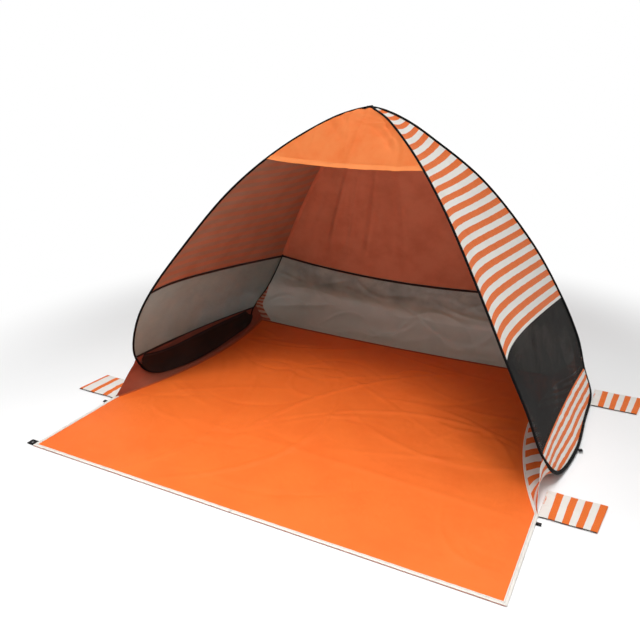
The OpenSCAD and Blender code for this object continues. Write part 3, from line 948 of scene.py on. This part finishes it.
def rear():
    c, f = wide_grid(90)
    s = mix(REAR_FROM, REAR_TO - 0.03, f)
    g = rear_surface(s, c)
    folds, field = rear_folds(), wave_noise(20, 0.1, 0.6)
    across_it = np.linalg.norm(g[:, -1] - g[:, 0], axis=-1)[:, None]
    edge = np.minimum(1, (1 - np.abs(c)) * 8) * smooth(0.2, 1.2, across_it) * np.clip((0.95 - f) * 9, 0, 1)
    g[..., 1] += (0.017 * folds(c, f) + 0.009 * field(g[..., 0], g[..., 2])) * edge
    uv = coords(g[..., 0], -g[..., 2] * 1.15)
    back = looks_along(g, 1)
    halves(
        "rear_cloth", g, uv, M_REAR_OUT, M_REAR, "orange_fabric", ["rear_wall"], flip=not back
    )

    # window from the seam down to the floor's rear edge
    top, last = REAR_TO + 0.03, SPANS - LOWER + 0.15
    c, f = wide_grid(90)
    rows = 5
    knots = []
    for i in range(rows):
        k = i / rows
        b = rear_edge(c[0])
        s = np.full(WIDE_COLS + 1, mix(top, last, i / (rows - 1)))
        knots.append(across(s, c[0], -REAR_SAG * (1 - k), mix(-REAR_FLAT, b[:, 1] - REAR_REACH, k)))
    low = rear_edge(c[0])
    low[:, 1] += 0.0008
    low[:, 2] = 0.0012
    knots.append(low)
    knots = np.array([2 * knots[0] - knots[1]] + knots + [2 * knots[-1] - knots[-2]])

    def surface(c, f):
        """The rear window, bent smoothly through its rows of points."""
        t = f * rows
        i = np.minimum(t.astype(int), rows - 1)
        t = (t - i)[..., None]
        k = (c + 1) / 2 * WIDE_COLS
        j = np.clip(k.astype(int), 0, WIDE_COLS - 1)
        k = (k - j)[..., None]
        a, b, d, e = (mix(knots[i + q, j], knots[i + q, j + 1], k) for q in range(4))
        square, cube = 2 * a - 5 * b + 4 * d - e, 3 * b - a - 3 * d + e
        return 0.5 * (2 * b + (d - a) * t + square * t**2 + cube * t**3)

    # below the lower seam the window's sides leave the hoops, and striped corners fill in
    leave = 0.42
    narrow = 1 - 0.085 * np.clip((f - leave) / (1 - leave), 0, 1)
    g = surface(c * narrow, f)
    field = wave_noise(22, 0.07, 0.5)
    pleats = creases(40, (-0.75, 0.0, 0.75, 0.3), 0.36, 0.011, (-0.35, 0.35))
    edge = np.minimum(1, (1 - np.abs(c)) * 9) * np.minimum(1, f * 8) * np.minimum(1, (1 - f) * 12)
    lower = 0.5 + 0.6 * smooth(0.3, 0.8, f)
    # a long crease runs across it, and the net below that leans back
    kink = 0.52 + 0.06 * c + 0.03 * np.sin(5 * c)
    crest = 0.045 * np.where(f < kink, smooth(0.1, 1.0, f / kink) ** 2, 1 - (f - kink) / (1 - kink))
    g[..., 1] += crest * np.minimum(1, (1 - np.abs(c)) * 4)
    rumple = 0.009 * field(g[..., 0], g[..., 2] * 1.6) + 0.011 * pleats(g[..., 0], g[..., 2]) * lower
    g[..., 1] += rumple * edge
    uv = coords(g[..., 0], -g[..., 2])
    back = looks_along(g, 1)
    # the inner face is painted light: grey for the light seen through the black net
    halves(
        "rear_net", g, uv, M_NET_DARK, M_NET_REAR_BACKLIT, "grey_mesh", ["rear_mesh_window"],
        flip=not back, thick=NET,
    )

    crumple = wave_noise(16, 0.02, 0.07)
    r, f = spread_out(np.linspace(0, 1, 15), mix(leave, 1, np.linspace(0, 1, 51)))
    narrow = 1 - 0.085 * np.clip((f - leave) / (1 - leave), 0, 1)
    for side in (LEFT, RIGHT):
        g = surface(side * mix(narrow, 1, r), f)
        uv = coords(r * 0.06, f * 0.35)
        inside = np.minimum(1, r * 5) * np.minimum(1, (1 - r) * 5) * np.minimum(1, (f - leave) * 6)
        g[..., 1] -= (0.003 + 0.006 * crumple(r * 0.06, f * 0.35)) * inside
        back = looks_along(g, 1)
        obj = sheet(f"{NAMES[side]}_rear_corner", g, uv, M_STRIPES_SMALL, M_CORNER_IN, flip=not back)
        with_fold(obj, side, "striped_fabric")
        declare(g)

    # the cloth covers the sleeves on the inside, down to the rear seam
    for side in (LEFT, RIGHT):
        s = np.linspace(SPANS - 0.6, REAR_TO + 0.05, 90)
        at = hoop(side, s)
        ahead = unit(hoop(side, SPANS - s) - at)
        aside = unit(hoop(-side, s) - at)
        r = np.linspace(0, 1, 5)[:, None]
        inward = unit(ahead + aside)
        reach = 0.012
        g = np.stack([at + reach * mix(ahead, aside, k) + 0.0014 * inward for k in r[:, 0]], axis=1)
        uv = cloth_uv(g)
        facing = np.sum(grid_normals(g)[45, 2] * inward[45]) > 0
        obj = sheet(f"{NAMES[side]}_corner_facing", g, uv, M_REAR, M_REAR, 0.0006, flip=not facing)
        on_hoop(obj, side, "orange_fabric")
        declare(g)

    # seam tape on the inside
    c = np.linspace(-1, 1, WIDE_COLS + 1)
    g = rear_surface(np.full(c.shape, REAR_TO), c)
    g[:, 1] -= 0.002
    for side, part in ((LEFT, g[: WIDE_COLS // 2 + 1]), (RIGHT, g[WIDE_COLS // 2 :])):
        down = np.tile([0.0, 0.35, -0.94], (len(part), 1))
        profile = tape_profile(SEAM_TAPE_W, SEAM_TAPE_T)
        obj = swept(f"{NAMES[side]}_rear_seam_tape", part, profile, None, [M_TAPE], sides=down)
        with_fold(obj, side, "black_binding", "rear_seam")


# ---------------------------------------------------------------- floor


def floor_edges(f):
    """The floor's half widths and how far back it is at f, from the porch edge to the rear."""
    split = (PORCH_REACH - CORNER_REACH) / (PORCH_REACH + REAR_REACH)
    w = np.clip((f - split) / (1 - split), 0, 1)
    y = np.where(f < split, mix(-PORCH_REACH, -CORNER_REACH, f / split), mix(-CORNER_REACH, REAR_REACH, w))
    x = {side: np.abs(hem(side, w)[..., 0]) for side in (RIGHT, LEFT)}
    return x, y


def floor():
    c, f = spread_out(np.linspace(-1, 1, 201), np.linspace(0, 1, 171))
    x, y = floor_edges(f)
    y = y - REAR_BOW * (1 - c * c) * np.clip((f - 0.7) / 0.3, 0, 1) ** 2
    g = coords(np.where(c > 0, c * x[RIGHT], c * x[LEFT]), y, np.full(c.shape, 0.0007))
    inset = 0.003
    g[..., 0] *= 1 - inset / 0.8
    field = wave_noise(30, 0.1, 0.7)
    fine = creases(46, (-0.8, -0.98, 0.8, 0.38), 0.42, 0.013, (-0.5, 0.6))
    edge = np.minimum(1, (1 - np.abs(c)) * 11) * np.minimum(1, f * 11) * np.minimum(1, (1 - f) * 8)
    long = creases(12, (-0.6, -0.9, 0.6, 0.3), 1.3, 0.01, (-0.9, 1.3))
    lift = 0.0022 + 0.0024 * field(g[..., 0], g[..., 1]) + 0.0038 * fine(g[..., 0], g[..., 1])
    lift += 0.0045 * np.abs(long(g[..., 0], g[..., 1]))
    g[..., 2] += np.maximum(0, lift) * edge
    uv = g[..., :2].copy()
    up = looks_along(g, 2)
    halves("floor_cloth", g, uv, M_FLOOR, M_FLOOR_LOW, "orange_fabric", ["floor_sheet"], flip=not up)

    # white binding around the edge
    for side in (LEFT, RIGHT):
        w = np.linspace(0, 1, 90)
        cc = np.linspace(1, 0, 70)
        x, y = np.linspace(0, PORCH_WIDTH / 2, 70), np.linspace(-PORCH_REACH, -CORNER_REACH, 40)
        front = coords(x, -PORCH_REACH, 0.0)
        flank = coords(PORCH_WIDTH / 2, y, 0.0)
        seam = hem(side, w)
        seam[:, 0] = np.abs(seam[:, 0])
        back = rear_edge(cc)
        path = np.concatenate([front, flank[1:], seam[1:], back[1:]])
        t = np.diff(path, axis=0)
        t = unit(np.concatenate([t[:1], t, t[-1:]]))
        before = coords(-t[:-1, 1], t[:-1, 0], 0 * t[:-1, 0])
        after = coords(-t[1:, 1], t[1:, 0], 0 * t[1:, 0])
        inward = unit(before + after)
        inward /= np.maximum(0.5, np.sum(inward * after, axis=1, keepdims=True))
        if side == LEFT:
            path[:, 0] *= -1
            inward[:, 0] *= -1
        ripple = 0.0007 * np.sin(np.arange(len(path)) * 0.9) * np.sin(np.arange(len(path)) * 0.13)
        path[:, 2] = 0.0016 + np.abs(ripple)
        profile = tape_profile(HEM_W, 0.0024)
        rings = (path + inward * HEM_W / 2)[:, None, :] - profile[None, :, :1] * inward[:, None, :]
        rings[..., 2] += profile[None, :, 1]
        m = len(profile)
        run = lengths(path)
        i, j = np.meshgrid(np.arange(len(path) - 1), np.arange(m), indexing="ij")
        j2 = (j + 1) % m
        quad = coords(i * m + j, i * m + j2, (i + 1) * m + j2, (i + 1) * m + j)
        if side == LEFT:
            quad = quad[..., ::-1]
        faces = [tuple(q) for q in quad.reshape(-1, 4)]
        wide = profile[:, 0] + HEM_W / 2
        uv = [(run[q // m], wide[q % m]) for face in faces for q in face]
        ends = [tuple(range(m)), tuple((len(path) - 1) * m + q for q in range(m - 1, -1, -1))]
        if side == LEFT:
            ends = [tuple(reversed(e)) for e in ends]
        for e in ends:
            faces.append(e)
            uv += [(run[q // m], wide[q % m]) for q in e]
        # only the porch and the right-hand side show white: elsewhere the binding is painted shade, a darker
        # orange-brown that matches the shaded floor beside it
        white_to = len(front) + len(flank) - 1 + (len(seam) - 1 if side == RIGHT else 0)
        colours = [0 if min(q) // m < white_to else 1 for q in faces]
        obj = new_mesh(
            f"{NAMES[side]}_floor_binding", rings.reshape(-1, 3), faces, [M_HEM, M_HEM_SHADED], colours, uv
        )
        with_fold(obj, side, "white_hem", "floor_hem")


# The stripes cross the gusset at a slant: shares of the lengths along and across the hem
GUSSET_SLANT = (0.62, -0.3)


def gusset(side):
    """The striped cloth over the ground between the floor's hem and the foot of the hoop."""
    w, r = spread_out(np.linspace(0, 1, 151), np.linspace(0, 1, 27))
    inner = hem(side, w)
    inner[..., 0] -= side * 0.004
    inner[..., 2] = 0.0034
    s = mix(LOWER + 0.05, SPANS - LOWER + 0.2, w)
    g = mix(inner, tucked(side, s, inner), r[..., None])
    n = normals_towards(g, 2)
    length = lengths(inner[0])
    width = np.linalg.norm(g - inner, axis=-1)
    uv = coords(width, GUSSET_SLANT[0] * length[None, :] + GUSSET_SLANT[1] * width)
    field = wave_noise(18, 0.05, 0.2)
    lift = np.clip(width / 0.02, 0, 1) * np.clip((width[-1:] - width) / 0.02, 0, 1)
    g = g + n * ((0.003 + 0.005 * field(width, length[None, :] * np.ones_like(width))) * lift)[..., None]
    g[..., 2] = np.maximum(g[..., 2], 0.0006)
    up = looks_along(g, 2)
    # on the left the upper face is painted shade: plain brown in place of the stripes
    above = M_STRIPES_GUSSET if side == RIGHT else M_GUSSET_SHADED
    obj = sheet(f"{NAMES[side]}_gusset_cloth", g, uv, above, M_STRIPES_GUSSET, flip=not up)
    with_fold(obj, side, "striped_fabric", f"{NAMES[side]}_gusset")
    declare(g)


# ---------------------------------------------------------------- pockets


# The outer edge is cut at a slant
POCKET_SKEW = 0.007


def sand_pocket(side, where):
    """Two layers of striped cloth, sewn together on three sides, soft and slightly full."""
    name = f"{NAMES[side]}_{where}_sand_pocket"
    lo, hi = (np.array(v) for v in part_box(name))
    x0 = lo[0] if side > 0 else hi[0]
    y0 = (lo[1] + hi[1]) / 2
    a, b = spread_out(np.linspace(0, 1, 45), np.linspace(-1, 1, 45))
    full = (1 - b**8) * (1 - a**10)
    root = np.exp(-((a / 0.16) ** 2))
    crumple = creases(30, (0.0, -0.08, 0.06, 0.08), 0.07, 0.0045, (-0.7, 0.7))
    field = wave_noise(14, 0.035, 0.12)
    skew = POCKET_SKEW if side == RIGHT else -POCKET_SKEW
    x = a * (POCKET_L - abs(skew) + skew * b)
    y = b * POCKET_W / 2 * (1 - 0.02 * np.sin(math.pi * a)) + 0.0015 * np.sin(a * 9)
    puff = 0.0022 * full * (1 - root * 0.5)
    rough = (0.003 * field(x, y) + 0.0038 * crumple(x, y) * (0.15 + root)) * full
    parts = []
    for tag, level, amount, dip, share in (("top", 0.0024, 1.0, -0.0007, 1), ("low", 0.0009, -0.15, 0, 0.1)):
        z = np.maximum(level + puff * amount + np.maximum(rough, dip) * share, 0.0005)
        g = coords(x0 + side * x, y0 + y, z)
        uv = coords(y, np.maximum(a * POCKET_L, 0.0075))
        up = looks_along(g, 2)
        cloth = M_STRIPES_POCKET if side == RIGHT else M_STRIPES_SPARSE
        parts.append(sheet(f"{name}_{tag}", g, uv, cloth, cloth, flip=not up))
    pouch = joined(f"{name}_pouch", parts)
    body = f"{NAMES[side]}_{where}_pocket"
    riding(pouch, body, "striped_fabric", name)
    # rolled hem at the mouth and a stitched edge on the outer three sides
    t = np.linspace(0, 1, 60)
    y = y0 + (t * 2 - 1) * POCKET_W / 2
    mouth = coords(x0 + side * 0.001, y, 0.0022)
    mouth[:, 2] += 0.0006 * np.sin(t * 40)
    roll = swept(f"{name}_mouth", mouth, circle(0.0018, 10), upward(60), [M_HEM])
    riding(roll, body, "white_hem")
    corners = np.array([[0.004, -1], [1, -1], [1, 1], [0.004, 1]])
    path = []
    for (ax, ay), (bx, by) in zip(corners[:-1], corners[1:]):
        for k in np.linspace(0, 1, 30)[:-1]:
            along, aside = mix(ax, bx, k), mix(ay, by, k)
            reach = POCKET_L - abs(skew) + skew * aside - 0.001
            path.append((x0 + side * along * reach, y0 + aside * POCKET_W / 2, 0.0014))
    path.append((x0 + side * 0.004 * POCKET_L, y0 + POCKET_W / 2, 0.0014))
    path = np.array(path)
    thread = circle(0.0009, 8)
    edge = swept(f"{name}_edge", path, thread, upward(len(path)), [M_HEM, M_DARK_EDGE])
    # the edge nearest the mouth of the shelter is drawn in a dark colour
    limit = y0 - POCKET_W / 2 + 0.002
    polygons = edge.data.polygons
    near = [int(max(path[v // len(thread)][1] for v in q.vertices) < limit) for q in polygons]
    polygons.foreach_set("material_index", near)
    riding(edge, body, "white_hem")


def storage_pocket():
    """A mesh pocket sewn over the inside of the left lower panel, with a dark hem at its mouth."""
    side = LEFT
    rows, cols = 40, 110
    u = mix(0.06, 0.9, np.linspace(0, 1, cols + 1))[None, :] * np.ones((rows + 1, 1))
    k = np.linspace(0, 1, cols + 1)[None, :]

    def surface(w, mouth):
        high = leaf(side, lower_seam(u), u)
        s = mix(LOWER, SPANS - LOWER, u)
        p = mix(high, tucked(side, s, high), w[..., None])
        n = grid_normals(p)
        n = np.where(n[..., :1] > 0, n, -n)
        over_foot = 0.0105 * smooth(0.55, 0.95, w)
        full = 0.02 * np.sin(math.pi * k) ** 0.7 * (1 - 0.75 * smooth(0.3, 1.0, w))
        return p + n * (0.0022 + over_foot + full + mouth)[..., None]

    field = wave_noise(16, 0.06, 0.25)
    w = mix(0.25, 1.03, np.linspace(0, 1, rows + 1))[:, None] * np.ones((1, cols + 1))
    g = surface(w, 0 * w)
    uv = cloth_uv(g)
    g = surface(w, 0.002 * field(uv[..., 0], uv[..., 1]) * (1 - np.abs(2 * k - 1) ** 6))
    inward = looks_along(g, 0)
    net = sheet("left_storage_net", g, uv, M_NET_STORE, M_NET_STORE, NET, flip=not inward)
    on_hoop(net, side, "grey_mesh", "left_storage_pocket")
    lip = np.full_like(w, 0.22)
    lip[1:] = w[1:]
    top = surface(lip, 0 * w)[0]
    below = surface(w, 0 * w)[2]
    profile = tape_profile(0.012, 0.0016)
    edge = swept("left_storage_binding", top, profile, None, [M_TAPE], sides=unit(below - top))
    on_hoop(edge, side, "black_binding", "left_storage_hem")


# ---------------------------------------------------------------- fastenings


def peg_loop(node, side):
    """A folded webbing tab with a punched eyelet and its ring."""
    lo, hi = (np.array(v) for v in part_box(node))
    x0 = lo[0] if side > 0 else hi[0]
    y0 = (lo[1] + hi[1]) / 2
    n = 48
    a = np.linspace(0, 2 * math.pi, n, endpoint=False)
    centre = LOOP_L - LOOP_W / 2
    # the corner loops are folded under, so only their ends show
    shrink = 1.0 if node == "porch_peg_loop" else 0.5
    ring = coords(centre + EYELET_D / 2 * np.cos(a), EYELET_D / 2 * np.sin(a))
    k = 1 / np.maximum(np.abs(np.cos(a)), np.abs(np.sin(a)))
    half = LOOP_W / 2
    outer = coords(centre + half * k * np.cos(a), half * k * np.sin(a))
    corner = (np.abs(np.abs(outer[:, 1]) - half) < 1e-6) & (outer[:, 0] > centre + half - 0.004)
    outer[corner, 1] *= 0.96
    outer[:, 0] = np.where(outer[:, 0] < centre - half + 1e-5, 0.0, outer[:, 0])
    levels = (0.0002, 0.0019)
    verts, faces = [], []
    for shape in (ring, outer):
        for z in levels:
            verts += [
                (x0 + side * px * shrink, y0 + py * shrink, z + 0.0003 * math.sin(py * 300))
                for px, py in shape
            ]
    for j in range(n):
        k2 = (j + 1) % n
        r0, r1, o0, o1 = j, n + j, 2 * n + j, 3 * n + j
        q0, q1, p0, p1 = k2, n + k2, 2 * n + k2, 3 * n + k2
        for f in ((r1, o1, p1, q1), (o0, r0, q0, p0), (o1, o0, p0, p1), (r0, r1, q1, q0)):
            faces.append(f if side > 0 else f[::-1])
    uv = [(verts[v][1], verts[v][0]) for f in faces for v in f]
    tab = new_mesh(f"{node}_tab", verts, faces, [M_WEBBING], None, uv, shade=False)
    half = (half - 0.002) * shrink
    bar = np.array([[x0 + side * 0.004, y0 - half, 0.0022], [x0 + side * 0.004, y0 + half, 0.0022]])
    bar = np.stack([mix(bar[0], bar[1], t) for t in np.linspace(0, 1, 14)])
    stitch = swept(f"{node}_bar", bar, tape_profile(0.0022, 0.0008), upward(14), [M_TAPE])
    t = np.linspace(0, 2 * math.pi, 48, endpoint=False)
    rim = (EYELET_D / 2 + 0.0012) * coords(np.cos(t), np.sin(t)) * shrink
    loop = coords(x0 + side * (centre * shrink + rim[:, 0]), y0 + rim[:, 1], 0.0021)
    wire = circle(0.0012, 8, 0.6)
    eyelet = swept(f"{node}_eyelet", loop, wire, upward(48), [M_EYELET], closed=True)
    for obj, slot in ((tab, "black_webbing"), (stitch, "black_webbing"), (eyelet, "spring_steel")):
        with_fold(obj, side, slot)
    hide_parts(node)


def apex_tie():
    """The webbing that joins the tips of the hoops, and its loops around the sleeves."""
    lo, hi = (np.array(v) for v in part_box("apex_tie"))
    y = np.linspace(lo[1], hi[1], 24)
    path = coords(0.0, y, (lo[2] + hi[2]) / 2)
    profile = tape_profile(hi[2] - lo[2] - 0.0002, 0.0022)
    web = swept("apex_tie_web", path, profile, None, [M_WEBBING], sides=upward(24))
    riding(web, "root", "black_webbing", "apex_tie")
    for side in (RIGHT, LEFT):
        s = np.linspace(-0.07, 0.07, 16)
        path = hoop(side, s)
        out = outward(side, 16)
        loop = swept(f"{NAMES[side]}_tip_wrap", path, circle(BINDING_R + 0.0009, 20), out, [M_WEBBING])
        on_hoop(loop, side, "black_webbing")


def knot(side):
    """The knotted end of the sleeve's drawn thread."""
    node = f"{NAMES[side]}_sleeve_tail"
    lo, hi = (np.array(v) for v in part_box(node))
    centre = (lo + hi) / 2
    size = (hi - lo).max() / 2
    t = np.linspace(0, 2 * math.pi, 90, endpoint=False)
    r = size * 0.8
    x, y = np.sin(t) + 2 * np.sin(2 * t), np.cos(t) - 2 * np.cos(2 * t)
    path = coords(x, y, -np.sin(3 * t)) * r / 3
    askew = np.tile([0.3, 0.2, 0.93], (90, 1))
    ball = swept(f"{node}_knot", centre + path, circle(0.0026, 8), askew, [M_WEBBING], closed=True)
    tails = []
    for k, bend in enumerate((1, -1)):
        q = np.linspace(0, 1, 14)
        drop = 0.0004 + 0.003 * q * (1 - q) - 0.004 * q
        run = centre + coords(side * (0.002 + 0.006 * q), bend * 0.004 * q, drop)
        tails.append(swept(f"{node}_end{k}", run, circle(0.0011, 7), upward(14), [M_WEBBING]))
    stub = centre + coords(-side * np.linspace(0, 0.012, 10), 0.0, 0.0)
    tails.append(swept(f"{node}_stub", stub, circle(0.0028, 8), upward(10), [M_WEBBING]))
    on_hoop(joined(f"{node}_knotted", [ball] + tails), side, "black_binding", node)


# ---------------------------------------------------------------- build

for s in (RIGHT, LEFT):
    sleeve(s)
    leaf_side(s)
    gusset(s)
    knot(s)
    for place in ("front", "rear"):
        sand_pocket(s, place)
visor()
rear()
floor()
storage_pocket()
peg_loop("right_peg_loop", RIGHT)
peg_loop("left_peg_loop", LEFT)
peg_loop("porch_peg_loop", LEFT)
apex_tie()
for name in NAMES.values():
    for node, steel in ((f"{name}_wire", M_STEEL), (f"{name}_wire_crimp", M_CRIMP)):
        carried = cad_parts[node]
        carried.data.materials.clear()
        carried.data.materials.append(steel)

# ---------------------------------------------------------------- stage, light and camera


# How brightly the world lights the object. The camera sees it at 1, which is white.
WORLD_LIGHT = 0.42
STAGE_HALF = 30.0
STAGE_DROP = 0.002
# Between these distances from the middle the floor goes over into the white background
STAGE_FADE = (1.2, 2.0)


def stage():
    n = Nodes("stage_white")
    n.plain(Roughness=0.9)
    grain = n.noise(n.place(), 3.0, 2.0)
    n.put(n.bsdf.inputs["Base Color"], n.blend(grain, (0.9, 0.9, 0.9, 1), (0.93, 0.93, 0.93, 1)))
    away = n.node("ShaderNodeVectorMath", operation="LENGTH")
    n.put(away.inputs[0], n.place())
    far = n.between(away.outputs["Value"], *STAGE_FADE)
    ray = n.node("ShaderNodeLightPath")
    seen = n.math("MAXIMUM", ray.outputs["Is Camera Ray"], ray.outputs["Is Glossy Ray"])
    seen = n.math("MAXIMUM", seen, ray.outputs["Is Transmission Ray"])
    white = n.node("ShaderNodeEmission")
    both = n.node("ShaderNodeMixShader")
    n.put(both.inputs[0], n.math("MULTIPLY", far, seen))
    n.put(both.inputs[1], n.bsdf.outputs[0])
    n.put(both.inputs[2], white.outputs[0])
    n.put(n.out.inputs["Surface"], both.outputs[0])
    corners = [(x * STAGE_HALF, y * STAGE_HALF, -STAGE_DROP) for x, y in ((-1, -1), (1, -1), (1, 1), (-1, 1))]
    obj = new_mesh("stage_floor", corners, [(0, 1, 2, 3)], [n.mat])

    world = bpy.data.worlds.new("studio")
    bpy.context.scene.world = world
    world.use_nodes = True
    tree = world.node_tree
    back = tree.nodes["Background"]
    seen = tree.nodes.new("ShaderNodeBackground")
    for node, strength in ((back, WORLD_LIGHT), (seen, 1.0)):
        node.inputs["Color"].default_value = (1, 1, 1, 1)
        node.inputs["Strength"].default_value = strength
    path = tree.nodes.new("ShaderNodeLightPath")
    pick = tree.nodes.new("ShaderNodeMixShader")
    either = tree.nodes.new("ShaderNodeMath")
    either.operation = "MAXIMUM"
    for start, end in (
        (path.outputs["Is Camera Ray"], either.inputs[0]),
        (path.outputs["Is Transmission Ray"], either.inputs[1]),
        (either.outputs[0], pick.inputs[0]),
        (back.outputs[0], pick.inputs[1]),
        (seen.outputs[0], pick.inputs[2]),
        (pick.outputs[0], tree.nodes["World Output"].inputs["Surface"]),
    ):
        tree.links.new(start, end)


def lamp(name, place, target, size, power, spread=180):
    """A rectangular soft box, aimed at a point. Its power is in watts, its spread in degrees."""
    data = bpy.data.lights.new(name, "AREA")
    data.shape = "RECTANGLE"
    data.size, data.size_y = size
    data.energy = power
    data.spread = math.radians(spread)
    obj = bpy.data.objects.new(name, data)
    obj.location = place
    direction = Vector(target) - Vector(place)
    obj.rotation_euler = direction.to_track_quat("-Z", "Y").to_euler()
    bpy.context.scene.collection.objects.link(obj)


stage()
lamp("key", (0.3, -1.9, 4.6), (0, -1.6, 0.0), (2.0, 1.4), 27, spread=64)
lamp("top", (0.6, 0.3, 4.6), (0, 0, 0.4), (3.0, 2.6), 62)

# The photograph's viewing angle: in front, to the right, and looking down
CAMERA_PLACE = (1.049, -2.429, 1.287)
CAMERA_DOWN = 16.1
CAMERA_TURN = 26.9
camera = bpy.data.cameras.new("camera")
camera.lens = 39.7
camera.sensor_width = 36.0
camera.shift_x = -0.009
camera.shift_y = -0.10
camera_obj = bpy.data.objects.new("camera", camera)
camera_obj.location = CAMERA_PLACE
camera_obj.rotation_euler = (math.radians(90 - CAMERA_DOWN), 0, math.radians(CAMERA_TURN))
bpy.context.scene.collection.objects.link(camera_obj)
bpy.context.scene.camera = camera_obj
bpy.context.scene.view_settings.view_transform = "Standard"
